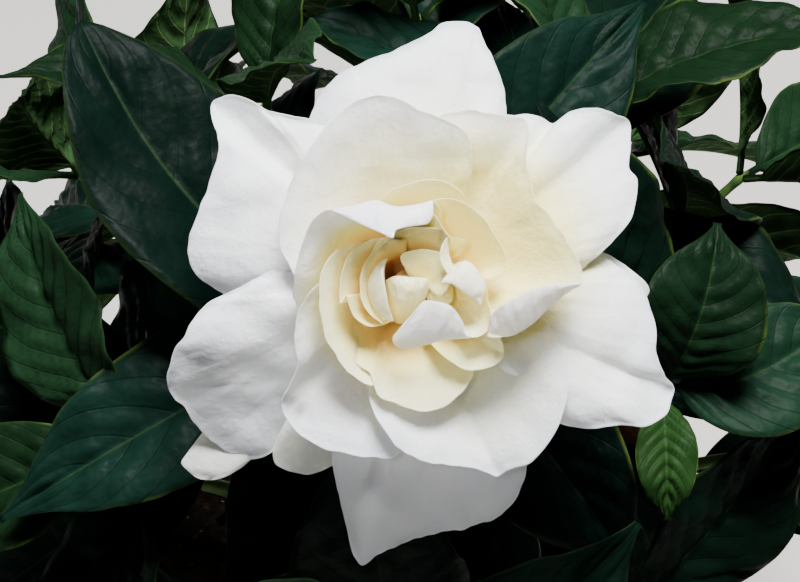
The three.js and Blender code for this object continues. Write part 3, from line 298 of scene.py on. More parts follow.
def closed_rings(rings: Array, values: dict[str, Array] | None = None) -> Surface:
    """A body through rings of points, closed at both ends by a fan round the ring's middle.

    The points of a ring run counter-clockwise as seen from where the rings go.

    Args:
        rings: rows of points round the body.
        values: named values on the same grid.

    Returns:
        The closed surface.
    """
    rows, around = rings.shape[:2]
    k = np.arange(around)
    last = (rows - 1) * around
    start = np.stack([np.full(around, rows * around), (k + 1) % around, k], -1)
    end = np.stack([np.full(around, rows * around + 1), last + k, last + (k + 1) % around], -1)
    points = np.concatenate([rings.reshape(-1, 3), rings[0].mean(0)[None], rings[-1].mean(0)[None]])
    spread = {
        key: np.concatenate([value.reshape(-1, 3), value[0].mean(0)[None], value[-1].mean(0)[None]])
        for key, value in (values or {}).items()
    }
    return Surface(points, [grid_faces(rows, around, True), start, end], spread)


def ring_tube(centres: Array, sides: Array, overs: Array, radii: Array, around: int) -> Surface:
    """A round tube whose ring points are centre + radius (side cos a + over sin a).

    Args:
        centres: middle of each ring.
        sides: first direction across the tube at each ring.
        overs: second direction across it.
        radii: radius of each ring, or a row of radii for each.
        around: points on a ring.

    Returns:
        The closed surface.
    """
    angle = round_turns(around)
    radii = np.broadcast_to(np.asarray(radii, float).reshape(len(centres), -1), (len(centres), around))
    ring = sides[:, None] * np.cos(angle)[:, None] + overs[:, None] * np.sin(angle)[:, None]
    return closed_rings(centres[:, None] + ring * radii[..., None])


def turned(profile: Sequence, around: int, flute: float = 0.0, flutes: int = 0) -> Surface:
    """A body of revolution about Z from a profile of (radius, z) that runs up the outside first.

    Args:
        profile: points from near the axis out, up and back to it; fans close the gap to the axis.
        around: corners round it.
        flute: depth of the ribs round it, as a share of the radius.
        flutes: how many ribs.

    Returns:
        The closed surface.
    """
    line = np.array(profile, float)
    radii = line[:, :1] * (1 + flute * np.cos(flutes * round_turns(around)))
    sides, overs = np.array([[1.0, 0, 0]]), np.array([[0, 1.0, 0]])
    return ring_tube(beside(0.0, 0.0, line[:, 1]), sides, overs, radii, around)


def smooth_line(points: list[tuple], count: int) -> Array:
    """Points spread evenly by chord along a smooth curve through the given ones.

    Between two points the curve is the cubic whose slope at each is that of the line between its
    neighbours, as on the solids.

    Args:
        points: points that the curve passes through.
        count: how many points are wanted.

    Returns:
        count by 3 positions.
    """
    p = np.asarray(points, float)
    chord = np.r_[0, np.cumsum(step_lengths(p))]
    slope = np.empty_like(p)
    slope[1:-1] = (p[2:] - p[:-2]) / (chord[2:] - chord[:-2])[:, None]
    slope[0] = (p[1] - p[0]) / (chord[1] - chord[0])
    slope[-1] = (p[-1] - p[-2]) / (chord[-1] - chord[-2])
    t = np.linspace(0, chord[-1], count)
    i = np.clip(np.searchsorted(chord, t, side="right") - 1, 0, len(p) - 2)
    h = (chord[i + 1] - chord[i])[:, None]
    s = (t - chord[i])[:, None] / h
    return (
        (2 * s**3 - 3 * s**2 + 1) * p[i]
        + (s**3 - 2 * s**2 + s) * h * slope[i]
        + (3 * s**2 - 2 * s**3) * p[i + 1]
        + (s**3 - s**2) * h * slope[i + 1]
    )


def grid_normals(grid: Array) -> Array:
    """Directions square to a grid of points, by the right hand from rows' step to columns' step."""
    return unit(np.cross(np.gradient(grid, axis=0), np.gradient(grid, axis=1)))


# ------------------------------------------------------------------ finishes

Socket = bpy.types.NodeSocket
AddNode = Callable[..., Socket]
# The output that other nodes read, where it isn't the first.
READ_OUTPUT = {"Mix": 2, "TexCoord": "Object", "Attribute": "Vector"}


def fill_inputs(node: bpy.types.Node, inputs: dict[str | int, object]) -> None:
    """Fills a node's inputs by name or number, and links those whose value is an output."""
    for key, value in inputs.items():
        if isinstance(value, Socket):
            node.id_data.links.new(value, node.inputs[key])
        else:
            node.inputs[key].default_value = value


def add_node(
    tree: bpy.types.NodeTree,
    kind: str,
    inputs: dict[str | int, object] | None = None,
    stops: Sequence[tuple[float, str]] = (),
    **settings: object,
) -> Socket:
    """Adds a shader node with its settings, and fills or links its inputs.

    Args:
        tree: the material's node tree.
        kind: the node's type without the word ShaderNode.
        inputs: input name or number to a value, or to the output that is linked to it.
        stops: places and sRGB colours, where the node is a ramp.
        settings: the node's own properties.

    Returns:
        The output that other nodes read.
    """
    node = tree.nodes.new("ShaderNode" + kind)
    for key, value in settings.items():
        setattr(node, key, value)
    fill_inputs(node, inputs or {})
    for k, (place, colour) in enumerate(stops):
        stop = node.color_ramp.elements[k] if k < 2 else node.color_ramp.elements.new(place)
        stop.position, stop.color = place, linear(colour)
    return node.outputs[READ_OUTPUT.get(kind, 0)]


@dataclass(frozen=True)
class Finish:
    """What every finish has: a name and the numbers of its shader. Each kind adds its own looks."""

    name: str = "finish"
    roughness: float = 0.5
    ior: float = 1.45

    def looks(self, node: AddNode) -> dict[str, object]:
        """The shader's other inputs: values, or outputs of nodes that node adds."""
        raise NotImplementedError

    def make(self) -> bpy.types.Material:
        """The material, with the finish's numbers and its looks."""
        material = bpy.data.materials.new(self.name)
        material.use_nodes = True
        tree = material.node_tree
        shader = tree.nodes["Principled BSDF"]
        fill_inputs(shader, {"Roughness": self.roughness, "IOR": self.ior})
        fill_inputs(shader, self.looks(partial(add_node, tree)))
        return material

    @staticmethod
    def grain(node: AddNode, size_mm: float, detail: float = 3.0, scale: tuple = (1, 1, 1)) -> Socket:
        """Mottling on the object's own coordinates.

        Args:
            node: adds a node to the material.
            size_mm: size of the largest blots.
            detail: how many finer layers they have.
            scale: how much finer they are along X, Y and Z.

        Returns:
            An output of about 0..1.
        """
        place = node("Mapping", {"Vector": node("TexCoord"), "Scale": scale})
        return node("TexNoise", {"Vector": place, "Scale": 1 / (size_mm * MM), "Detail": detail})

    @staticmethod
    def values(node: AddNode, attribute: str) -> list[Socket]:
        """The three values of an attribute, as outputs."""
        vector = node("Attribute", attribute_name=attribute)
        return list(node("SeparateXYZ", {0: vector}).node.outputs)

    @staticmethod
    def cover(node: AddNode, colour: Socket, *layers: tuple[Socket, float]) -> dict[str, object]:
        """The shader's colour and its relief in layers.

        Args:
            node: adds a node to the material.
            colour: the colour.
            layers: pattern and depth in mm of each layer of relief, each laid over the one before.

        Returns:
            The shader's inputs by name.
        """
        normal = {}
        for height, depth in layers:
            normal = {"Normal": node("Bump", {"Height": height, "Distance": depth * MM, **normal})}
        return {"Base Color": colour, **normal}


@dataclass(frozen=True)
class PetalFinish(Finish):
    """A living gardenia petal: thick, waxy and velvety, so light sinks in and it shows no sharp gloss.

    It is white at the rims, cream further in and amber down in the hollows, where the amber is partly
    painted warm shade, by the value "petal": its first part is warmth, its second counts the veins across
    the petal, which lie 0.9 mm apart, and its third is how much grey is painted in: a grey stain with
    painted shade in crumpled tips and creases, and painted shade on the fold that faces away from the
    light.
    """

    name: str = "gardenia_petal"
    roughness: float = 0.55
    ior: float = 1.4

    def looks(self, node: AddNode) -> dict[str, object]:
        """Blotted warmth, patchy grey stain and painted shade, faint ribs along the veins and a softly
        uneven skin.
        """
        warmth, vein, stain_and_shade = self.values(node, "petal")
        blots = node("Math", {0: self.grain(node, 9.0, 2.0), 1: 0.06, 2: -0.03}, operation="MULTIPLY_ADD")
        warmth = node("Math", {0: warmth, 1: blots}, operation="ADD")
        # Higher warmth is darker: the deepest amber is reached down in the hollows, where much of it is
        # painted shade.
        colour = node("ValToRGB", {0: warmth}, [
            (0.0, "#F6F8FE"), (0.2, "#FCFADC"), (0.4, "#FBF2B0"), (0.6, "#FAE590"), (0.8, "#F2CB6C"),
            (1.0, "#AE7238"),
        ])
        # Painted shade: grey is mixed in at crumpled tips and creases, partly a real grey stain, and on the
        # fold that faces away from the light; patchy noise breaks it up.
        patchy = node("Math", {0: self.grain(node, 1.5, 4.0), 1: 0.2, 2: 0.6}, operation="MULTIPLY_ADD")
        stain_and_shade_share = node("Math", {0: stain_and_shade, 1: patchy}, operation="MULTIPLY")
        colour = node("Mix", {0: stain_and_shade_share, 6: colour, 7: linear("#45454B")}, data_type="RGBA")
        turns = node("Math", {0: vein, 1: 2 * math.pi}, operation="MULTIPLY")
        ribs = node("Math", {0: turns}, operation="SINE")
        faint = node("Math", {0: ribs, 1: self.grain(node, 6.0, 2.0)}, operation="MULTIPLY")
        skin = node("Math", {0: faint, 1: 0.05, 2: self.grain(node, 0.9, 3.0)}, operation="MULTIPLY_ADD")
        return {
            **self.cover(node, colour, (skin, 0.13), (self.grain(node, 4.5, 4.0), 0.42)),
            "Specular IOR Level": 0.35,
            "Subsurface Weight": 0.5,
            "Subsurface Radius": (1.0, 0.9, 0.6),
            "Subsurface Scale": 1.6 * MM,
            "Sheen Weight": 0.12,
            "Sheen Roughness": 0.4,
        }


@dataclass(frozen=True)
class LeafFinish(Finish):
    """A gardenia leaf: leathery with a waxy cuticle, so its face is glossy and its back is dull.

    The value "blade" counts the side veins along it, then gives the place across it from -1 to 1 and 1
    on its back. The value "leaf" gives its youth and its own tint.
    """

    name: str = "gardenia_leaf"
    roughness: float = 0.45

    def looks(self, node: AddNode) -> dict[str, object]:
        """A near-black mottled face with painted shade in the vein furrows, a midrib and a pale margin; a
        paler back with raised veins.
        """
        soft, mix = {"interpolation_type": "SMOOTHSTEP"}, {"data_type": "RGBA"}
        count, across, back = self.values(node, "blade")
        youth, tint, _ = self.values(node, "leaf")
        off = node("Math", {0: across}, operation="ABSOLUTE")
        apart = node("Math", {0: count, 1: 0.5}, operation="PINGPONG")
        vein = node("MapRange", {0: apart, 1: 0.0, 2: 0.07, 3: 1.0, 4: 0.0}, **soft)
        midrib = node("MapRange", {0: off, 1: 0.006, 2: 0.028, 3: 1.0, 4: 0.0}, **soft)
        patch = node("MapRange", {0: self.grain(node, 14.0), 1: 0.5, 2: 0.65, 3: 0.08, 4: 0.6}, **soft)
        margin = node("MapRange", {0: off, 1: 0.93, 2: 1.0, 3: 0.0, 4: patch}, **soft)
        # The back ends just short of the margin, where the face's colour comes round the edge.
        within = node("MapRange", {0: off, 1: 0.9, 2: 0.98, 3: 1.0, 4: 0.0}, **soft)
        back = node("Math", {0: back, 1: within}, operation="MULTIPLY")
        own = node("Math", {0: tint, 1: 0.6}, operation="MULTIPLY")
        shade = node("Math", {0: self.grain(node, 6.0, 4.0), 1: 0.5, 2: own}, operation="MULTIPLY_ADD")
        old = node("ValToRGB", {0: shade}, [(0.1, "#030A09"), (0.5, "#06150F"), (1.0, "#10271F")])
        young = node("ValToRGB", {0: shade}, [(0.1, "#142E12"), (1.0, "#2C4A1A")])
        face = node("Mix", {0: youth, 6: old, 7: young}, **mix)
        # Painted shade: the side veins lie in the furrows of the quilted blade and are darkened there.
        furrow_shade = node("Math", {0: vein, 1: 0.4}, operation="MULTIPLY")
        pale = node("Math", {0: midrib, 1: 0.14}, operation="MULTIPLY")
        for share, colour in ((furrow_shade, "#03100C"), (margin, "#4C6128"), (pale, "#426030")):
            face = node("Mix", {0: share, 6: face, 7: linear(colour)}, **mix)
        lines = node("Math", {0: vein, 1: midrib}, operation="MAXIMUM")
        rear = node("Mix", {0: lines, 6: linear("#35532F"), 7: linear("#66834E")}, **mix)
        colour = node("Mix", {0: back, 6: face, 7: rear}, **mix)
        skin = node("Math", {0: vein, 1: -0.5, 2: self.grain(node, 1.6)}, operation="MULTIPLY_ADD")
        wear = {0: self.grain(node, 4.0), 1: 0.14, 2: self.roughness - 0.07}
        wear = node("Math", wear, operation="MULTIPLY_ADD")
        return {
            **self.cover(node, colour, (skin, 0.12), (self.grain(node, 3.0, 1.0), 0.32)),
            "Roughness": node("Math", {0: back, 1: 0.3, 2: wear}, operation="MULTIPLY_ADD"),
            "Specular IOR Level": 0.04,
            "Subsurface Weight": 0.05,
            "Subsurface Scale": 1.0 * MM,
        }


@dataclass(frozen=True)
class StemFinish(Finish):
    """A soft green stem or calyx: a smooth skin with paler flecks."""

    name: str = "green_stem"
    roughness: float = 0.45

    def looks(self, node: AddNode) -> dict[str, object]:
        """Flecked green over a fine skin."""
        stops = [(0.3, "#2F5222"), (0.7, "#6B8E3C")]
        colour = node("ValToRGB", {0: self.grain(node, 5.0, 4.0)}, stops)
        inputs = self.cover(node, colour, (self.grain(node, 0.8), 0.12))
        return {**inputs, "Subsurface Weight": 0.05, "Subsurface Scale": 1.0 * MM}


@dataclass(frozen=True)
class BarkFinish(Finish):
    """Young gardenia bark: thin, grey-brown and finely split lengthways, quite matte."""

    name: str = "grey_bark"
    roughness: float = 0.88

    def looks(self, node: AddNode) -> dict[str, object]:
        """Long splits in colour and depth."""
        splits = self.grain(node, 3.0, 5.0, (1.0, 1.0, 0.22))
        colour = node("ValToRGB", {0: splits}, [(0.3, "#2E231A"), (0.5, "#5E4B39"), (0.72, "#8A7861")])
        return self.cover(node, colour, (splits, 0.9), (self.grain(node, 0.7), 0.2))


@dataclass(frozen=True)
class ClayFinish(Finish):
    """Unglazed terracotta, thrown and fired: turning lines 2 mm apart, sand grains and pale salt bloom."""

    name: str = "terracotta"
    roughness: float = 0.86
    ior: float = 1.5
    line_mm: float = 2.0

    def looks(self, node: AddNode) -> dict[str, object]:
        """Blotted clay with sand and salt on it, and turning lines under a fine grit."""
        soft, mix = {"interpolation_type": "SMOOTHSTEP"}, {"data_type": "RGBA"}
        stops = [(0.3, "#96583C"), (0.52, "#AE6B48"), (0.75, "#BC8160")]
        body = node("ValToRGB", {0: self.grain(node, 34.0, 5.0)}, stops)
        sand = node("MapRange", {0: self.grain(node, 0.9, 2.0), 1: 0.62, 2: 0.7, 3: 0.0, 4: 0.5}, **soft)
        bloom = self.grain(node, 22.0, 7.0, (1.0, 1.0, 0.5))
        salt = node("MapRange", {0: bloom, 1: 0.5, 2: 0.75, 3: 0.0, 4: 0.4}, **soft)
        for share, colour in ((sand, "#6E3B26"), (salt, "#D9B79C")):
            body = node("Mix", {0: share, 6: body, 7: linear(colour)}, **mix)
        # A wave texture has about 3.2 bands in each unit of its scale.
        scale = 0.31 / (self.line_mm * MM)
        bands = {"Vector": node("TexCoord"), "Scale": scale, "Distortion": 1.6, "Detail": 3.0}
        lines = node("TexWave", bands, bands_direction="Z")
        return self.cover(node, body, (lines, 0.12), (self.grain(node, 1.1, 4.0), 0.28))


@dataclass(frozen=True)
class SoilFinish(Finish):
    """Damp peat mix: near black crumbs with brown fibre."""

    name: str = "peat_mix"
    roughness: float = 0.95

    def looks(self, node: AddNode) -> dict[str, object]:
        """Crumbs in colour and depth."""
        crumbs = self.grain(node, 4.0, 8.0)
        colour = node("ValToRGB", {0: crumbs}, [(0.3, "#120C08"), (0.5, "#2A1D13"), (0.7, "#4A3524")])
        return self.cover(node, colour, (crumbs, 2.0), (self.grain(node, 1.2, 4.0), 0.8))


@dataclass(frozen=True)
class ChipFinish(Finish):
    """Bits in the mix, by the value "chip": most are composted bark and some are white perlite."""

    name: str = "bark_and_perlite"
    roughness: float = 0.9

    def looks(self, node: AddNode) -> dict[str, object]:
        """A colour for each bit, with a rough skin."""
        stops = [(0.0, "#1E140D"), (0.5, "#4E3826"), (0.8, "#6B5138"), (0.86, "#CFC9BC"), (1.0, "#DAD6CC")]
        colour = node("ValToRGB", {0: self.values(node, "chip")[0]}, stops)
        return self.cover(node, colour, (self.grain(node, 0.8, 4.0), 0.3))


@dataclass(frozen=True)
class FloorFinish(Finish):
    """A plain pale painted floor, matte, with the faintest cloudiness."""

    name: str = "pale_floor"
    roughness: float = 0.75

    def looks(self, node: AddNode) -> dict[str, object]:
        """Two close greys."""
        stops = [(0.3, "#D6D4CF"), (0.7, "#DCDAD5")]
        return self.cover(node, node("ValToRGB", {0: self.grain(node, 60.0)}, stops))


# ------------------------------------------------------------------ the bloom's petals

# Root, rise and rim of each petal in the bloom's frame, in mm: a petal is a fan of lines from its root to
# its rim, and a line's height goes as its length to the power of rise.
PETALS: dict[str, dict[str, tuple]] = {
    "back": {
        "back_right": ((4, -1, -15), 0.6, [(28, 8, -12), (36, 5, -10), (40.5, 1.6, -9), (42.4, -0.8, -9.5),
            (41.3, -3.3, -10), (38, -10, -11), (28, -14, -12)]),
        "back_low_left": ((-3, -4, -17), 0.6, [(-26, -14, -18), (-34, -22, -18.6), (-39, -28, -19),
            (-41.4, -31.3, -19), (-42, -32.4, -19), (-41.4, -33.5, -19), (-39.6, -34.9, -19),
            (-36.6, -35.6, -19), (-33.5, -34.8, -19), (-29.5, -32, -19), (-25, -28, -19), (-18, -20, -18)]),
        "back_low": ((-2, -5, -13), 1.3, [(-18, -16, -12), (-23, -25, -11.5), (-24.9, -30, -12.5),
            (-24.3, -32.5, -14), (-21.1, -34, -15.5), (-17.5, -34, -15.5), (-13, -31.6, -14.5),
            (-8, -24, -12.5), (-5, -15, -12)]),
    },
    "outer": {
        "outer_right": ((4, -2, -15), 0.55, [(18, 8, -10), (26, 7, -6.5), (32.6, 5.6, -5), (38, 2.4, -4),
            (41, -1, -3.5), (43, -6.5, -3), (43.4, -12, -3), (45, -16, -4), (46.8, -18.7, -6.5),
            (45.3, -22.5, -5), (42, -25, -3), (37, -24.8, -2.5), (31, -25.4, -3), (25, -24, -4),
            (15, -15, -9)]),
        "outer_up_right": ((4, 2, -15), 0.55, [(12, 20, -8), (16.5, 29.5, -5), (19, 30.2, -4.5),
            (22.5, 30, -4), (25.2, 28.8, -5), (28, 30.6, -2.5), (32, 31.1, -2), (36, 30.4, -3),
            (38.5, 29.2, -5.5), (38.8, 25, -4.5), (38.3, 20.8, -3), (39.8, 18.7, -2), (39.2, 13.5, -1),
            (37, 9.5, -0.5), (32.5, 5, -1), (27, 1, -3), (17, -4, -8)]),
        "outer_up": ((1, 4, -15), 0.55, [(-12, 15, -8), (-17.5, 26, -5), (-18, 30, -4.5), (-15.2, 35, -3.5),
            (-11, 38.3, -3), (-5, 40.7, -3), (0, 43, -3.5), (3.2, 44.8, -4.5), (6.5, 47, -6),
            (11, 46.4, -5.5), (13, 43, -3), (15.2, 38, -1.5), (16.7, 31, -1.5), (15.5, 22, -3.5),
            (10, 12, -8)]),
        "outer_up_left": ((-4, 3, -15), 0.55, [(-12, 0, -11), (-22, -3.5, -7.5), (-30, -3.5, -6.5),
            (-35, -0.7, -6), (-38.3, 2, -5), (-39.8, 6, -4), (-38.7, 11, -3), (-36.2, 17, -2.5),
            (-34.5, 22.5, -2.5), (-34.3, 26.5, -3.5), (-35.8, 30.3, -6.5), (-35.4, 33, -7.5),
            (-32, 33.8, -5), (-29, 32.8, -3), (-25, 30.6, -1.5), (-19, 29.2, -1), (-14, 28, -1),
            (-9, 22, -3), (-5, 13, -8)]),
        "outer_left": ((-4, -2, -15), 0.55, [(-12, 4, -9), (-20.5, 2.8, -2.5), (-25, 2.4, -1.5),
            (-30, -0.3, -1.5), (-35.8, -3.1, -2), (-38.3, -5.5, -2.5), (-40.2, -9, -3), (-42, -11.2, -3.8),
            (-43.3, -15, -5.5), (-43.6, -17.5, -7), (-42.5, -20.3, -9), (-40.5, -22.2, -10.5),
            (-38.6, -25.7, -13.5), (-35.3, -29.3, -16), (-31.3, -31.4, -17.5), (-27.2, -31.4, -17.5),
            (-24, -29, -15.5), (-19, -23, -12), (-11, -13, -10)]),
        "outer_down": ((0, -5, -8.5), 2.1, [(-10, -16, -10), (-13, -24, -9.5), (-14.4, -30, -11),
            (-13.9, -35, -13.8), (-12.4, -42, -18), (-11, -48.4, -21.4), (-9.2, -51.8, -23),
            (-6.4, -49.9, -22), (-2, -47.6, -20.8), (4, -45.6, -19.8), (10, -44.4, -19), (15.6, -42.4, -18),
            (19.2, -38.3, -15.6), (20.9, -32, -12.4), (19.8, -25, -9.5), (13, -15, -10)]),
    },
    "inner": {
        "inner_down_left": ((-4, -3, -12), 0.75, [(-10, 4, -3), (-16.3, 0, 5.5), (-18.5, -2.5, 5),
            (-20, -5.5, 4), (-20.4, -10, 3), (-20.1, -14, 1.5), (-21.5, -17.8, -1), (-23, -20.8, -3),
            (-21.8, -24, -3.5), (-18, -27.8, -3), (-14, -29.3, -2.5), (-8, -30.3, -2.5),
            (-3.5, -30.2, -2.5), (0, -27, -3), (0, -17, -5), (-1, -10, -8)]),
        "inner_down_right": ((2, -4, -12), 0.75, [(14, -4, -5), (22.5, -5.5, -1.5), (25, -9, -0.5),
            (26.8, -13.5, 0.5), (27.2, -18, 1), (26.2, -23.5, 1), (23.5, -28.5, 0), (20, -31.5, -1),
            (17, -32.8, -2), (15.2, -33.8, -3), (13, -33, -2), (8, -31.8, 0), (3, -31, 1), (-2, -28.8, 1.5),
            (-5, -25.3, 2), (-6.6, -22, 1.5), (-7.6, -18.5, 0.5), (-6, -12, -3)]),
        "inner_right": ((3, 1, -12), 1, [(1, 12, -4), (3, 25, 2.5), (5, 29.6, 4.5), (9, 30.1, 5.5),
            (13, 29.9, 6), (16.5, 29.4, 6), (19.6, 28.8, 5.5), (20.3, 26.8, 6), (19.7, 24, 7),
            (19.9, 20, 7.5), (20.8, 16.5, 8), (21.5, 14.1, 8), (23, 12.8, 8), (25.5, 9.5, 8.5),
            (27.8, 5.8, 9), (29.2, 2.3, 9.5), (28.9, 0.2, 10), (26, -1.6, 10.5), (23, -4.2, 11),
            (20.2, -6.8, 11), (16.5, -8.7, 10.5), (13, -9, 8), (8, -6, 0)]),
        "inner_up_left": ((-3, 3, -12), 1, [(-12, -4, -5), (-19.5, -0.5, 1), (-21.2, 3, 3), (-23, 6.5, 4),
            (-23.3, 10, 5), (-22, 15, 6), (-19.5, 20.5, 6.5), (-15, 27.3, 7), (-11, 31, 7.5),
            (-6.5, 32.5, 8), (-2, 32.1, 8.5), (0.8, 30.4, 9), (4.5, 28.8, 9), (8.3, 27.2, 8.5),
            (9.8, 25.4, 8), (10.4, 21.5, 7), (10, 14, 2)]),
        "inner_left": ((-4, 2, -12), 1.2, [(-12, -13, -8), (-16.5, -10.5, -6), (-19, -6.5, -2),
            (-20.6, -2, 3), (-20.2, 2, 6.5), (-19, 7, 9), (-17.3, 10.8, 11), (-15, 12.7, 12),
            (-12.5, 12.9, 12), (-10, 13.5, 12), (-6.2, 14.3, 12), (-3, 13.3, 12), (0, 13.5, 12),
            (3.5, 14.3, 11.5), (5, 12, 8), (3, 7, 2)]),
    },
    "cup": {
        "cup_up": ((1, 4, -9), 1.3, [(-8, 10, 1), (-6, 14.5, 4), (-4, 16, 5), (-1, 17.4, 5.5),
            (3.5, 18.4, 6), (6.5, 17.5, 5.5), (9, 15.6, 5), (10, 12, 2), (8, 8, -2)]),
        "cup_right": ((4, 3, -9), 1.3, [(1, 10, 2), (3.6, 14.6, 6), (6.5, 15, 6.5), (9.5, 13.8, 7),
            (12.3, 11.6, 7), (14.7, 8, 7), (16.3, 4.5, 7), (16.2, 2.8, 7), (14.3, 1.4, 7), (12.3, 0.9, 6.5),
            (10, -1, 3)]),
        "cup_down": ((-1, -4, -9), 0.8, [(-9, -2, -2), (-10.4, -7, 1), (-11, -12.3, 2.5), (-9, -14.2, 3),
            (-7.4, -15.2, 3), (-6.7, -17.5, 3), (-5.8, -19.4, 3), (-2, -21, 3), (2.5, -22, 3),
            (6.2, -21, 3), (9, -18.4, 2.5), (10.6, -15.2, 2), (10, -10, 0)]),
        "lip_down": ((3, -4, -7), 1, [(2, -9, 0), (3.5, -10.5, 3), (6, -12.9, 4.5), (9.5, -14.7, 5),
            (13, -14.3, 5.5), (15.3, -13, 6), (15.7, -10.5, 7), (14.5, -8.5, 8), (12.5, -7, 7)]),
        "cup_left": ((-3, 0, -8), 1.3, [(-8, 8, 3), (-12.2, 6.6, 6), (-14.8, 4, 7), (-16.1, 0, 7.5),
            (-15.8, -5, 7), (-14.4, -10, 6), (-11.5, -14.6, 4.5), (-8.5, -16.9, 3.5), (-6.8, -17.3, 3),
            (-4, -14, 0)]),
        "cup_low_right": ((3, 0, -6), 1.3, [(4, 4, 6), (7, 2.6, 9), (8.7, 4, 9.6), (10.2, 3.5, 9.6),
            (11.4, 2, 9.6), (12.4, 0.3, 9.2), (13, -2.5, 8.8), (13.4, -5, 8.5), (13, -7.7, 8.5),
            (11.5, -8.8, 8.5), (9.8, -9, 8.5), (8, -7, 5)]),
    },
    "swirl": {
        "swirl_left": ((-2, 0, -7), 1.5, [(-2, 8.3, 6), (-6, 8, 7), (-9.5, 6.5, 8), (-11.8, 3, 8.5),
            (-12.6, -1, 8.5), (-12.3, -3.2, 8), (-11.4, -1.8, 8.5), (-10.9, -3.6, 8), (-10, -5.6, 7),
            (-7.6, -7, 6), (-5.4, -7.1, 5), (-3, -6, 2)]),
        "swirl_up": ((1, 3, -6), 1.5, [(-6, 6, 6), (-3, 9.5, 9), (1, 11.5, 9.5), (3.5, 12, 10),
            (5, 10.2, 10), (6.6, 8.4, 9.5), (9.2, 7.6, 8.5), (8, 5, 4)]),
        "swirl_up_inner": ((0, 2, -6), 1.5, [(-8, 3, 4), (-6.5, 6.8, 6.5), (-3, 9.2, 8.2), (1.5, 9.9, 9),
            (5.4, 9.3, 9), (6.3, 6.5, 6)]),
        "swirl_right": ((4, 1, -6), 1.3, [(5, 9, 7), (6.2, 8.7, 8), (6.2, 6, 8), (6.7, 4, 8), (7.8, 2.4, 8),
            (8, 0, 6)]),
        "heart_back": ((1.2, 0.8, 4.6), 0.8, [(-1.6, 3.4, 6.6), (-2.1, 5.1, 7.6), (-0.6, 5.7, 8.4),
            (1.4, 6.1, 8.8), (3.6, 5.8, 9), (5.4, 4.8, 8.8), (6.3, 3.2, 8.2), (6.5, 1.4, 7.6), (6, -0.6, 7),
            (4.8, -2.4, 6.4)]),
        "swirl_inner": ((-1, 0, -5), 1.6, [(-1, 7.6, 6), (-4, 7.5, 6.5), (-7, 5.5, 7), (-8.8, 2, 7.5),
            (-8.8, -2, 7.5), (-7.3, -5.2, 7), (-5, -6.8, 6.5)]),
    },
    "cap": {
        "heart_low": ((-1, -0.2, 9.4), 1.6, [(-4.6, 0.8, 6.6), (-3, 1.5, 8), (0, 1.3, 8.8), (2.7, 0.9, 7.4),
            (2.6, -1.5, 6), (1.2, -4.4, 4.5), (-0.3, -6.4, 3), (-3, -6.5, 3), (-4.2, -3, 5)]),
        "heart_up": ((2.2, 3, 6.4), 2, [(-1.6, 4.8, 3.5), (0.4, 6.2, 4), (3.4, 6, 4), (5.9, 4.5, 4),
            (6.6, 2.7, 3.6), (5.5, 1.1, 4), (2.9, 0.5, 4.6), (0.4, 0.9, 5), (-1.2, 2.6, 4.4)]),
        "heart_side": ((4.4, -1.8, 5.6), 2, [(2.6, 0.6, 4.4), (4.3, 1.2, 4.4), (6.3, 0.6, 4),
            (7.1, -0.9, 3.8), (6.9, -2.8, 3.8), (4.9, -3.8, 3.8), (3, -3, 4), (2.3, -1, 4.4)]),
    },
}

# Hem, free edge, belly, warmth and pleats of each petal margin that is folded over or curls in the heart.
FOLDS: dict[str, tuple] = {
    "fold_right": ([(28.9, 0.1, 10), (26, -1.6, 10.5), (23, -4.2, 11), (20.2, -6.8, 11), (16.5, -8.7, 10.5),
        (13.2, -8.2, 10)], [(28.6, 0.3, 10.6), (25, 0.2, 12.8), (21.6, -0.3, 14.2), (18.8, -1.4, 15),
        (16.3, -2.6, 15.2), (14.4, -4, 14.6), (13.4, -5.2, 13.6), (12.8, -7.2, 11.8)], 0.9, 0.02, 0.22),
    "fold_up": ([(-13.8, 12.8, 12), (-10, 13.5, 12), (-6.2, 14.3, 12), (-3, 13.3, 12), (0, 13.5, 12),
        (3.5, 14.3, 11.5)], [(-13.2, 12.3, 12.8), (-8.2, 10, 14.8), (-5, 8.6, 15.8), (-3.3, 7.9, 16.2),
        (-2.8, 9.2, 15.6), (-0.2, 9.9, 14.8), (2.6, 10.4, 13.8), (3.7, 12, 12.6)], 0.7, 0.0, 0.16),
    "fold_down": ([(-0.5, -6.8, 7.5), (-3.2, -8.9, 7.5), (-3, -10.3, 7.5), (-1, -11, 7.5), (2, -10.3, 8),
        (6, -9.3, 8.5), (9.8, -9.1, 9)], [(1.2, -4.5, 11), (1.4, -3.4, 12), (2, -2.7, 12.5), (4, -2.8, 13),
        (6.4, -3.5, 13), (8, -5.3, 12), (9.8, -8.8, 9.6)], 1.0, 0.05, 0.2),
    "fold_low_right": ([(5, 0.6, 9), (7, 2.6, 9.5), (8.7, 4, 10), (10.2, 3.5, 10), (11.4, 2, 10),
        (12.4, 0.3, 9.5), (12.3, -1.7, 9), (11.7, -3.6, 8.5)], [(5, 0.3, 10), (6, 0.3, 11), (7, 0, 11.5),
        (8, -0.8, 11.5), (9, -1.5, 11), (10, -2.2, 10.5), (11, -3, 9.5), (11.6, -3.8, 9)], 0.7, 0.25, 0.15),
    "curl_right": ([(6.2, 8.6, 8), (6.1, 6, 7.5), (6.6, 4, 7.5), (7.7, 2.5, 7.5)], [(6, 8.4, 8.5),
        (4.9, 6.3, 10), (4.8, 4, 10), (6.4, 1.4, 9)], 0.3, 0.3, 0.06),
    "crescent": ([(-4.2, 4.6, 6), (-6.4, 3, 6), (-7.6, 0, 6), (-7, -3, 6), (-5.5, -5.2, 6),
        (-3.4, -6.3, 6)], [(-4.4, 4.4, 9), (-4.8, 2.5, 9.8), (-4.7, 0.5, 10), (-4.4, -1.5, 10),
        (-4, -3.7, 9.5), (-3.2, -6.2, 8)], 0.8, 0.3, 0.08),
}

# ------------------------------------------------------------------ stems and leaves in the solids' own way


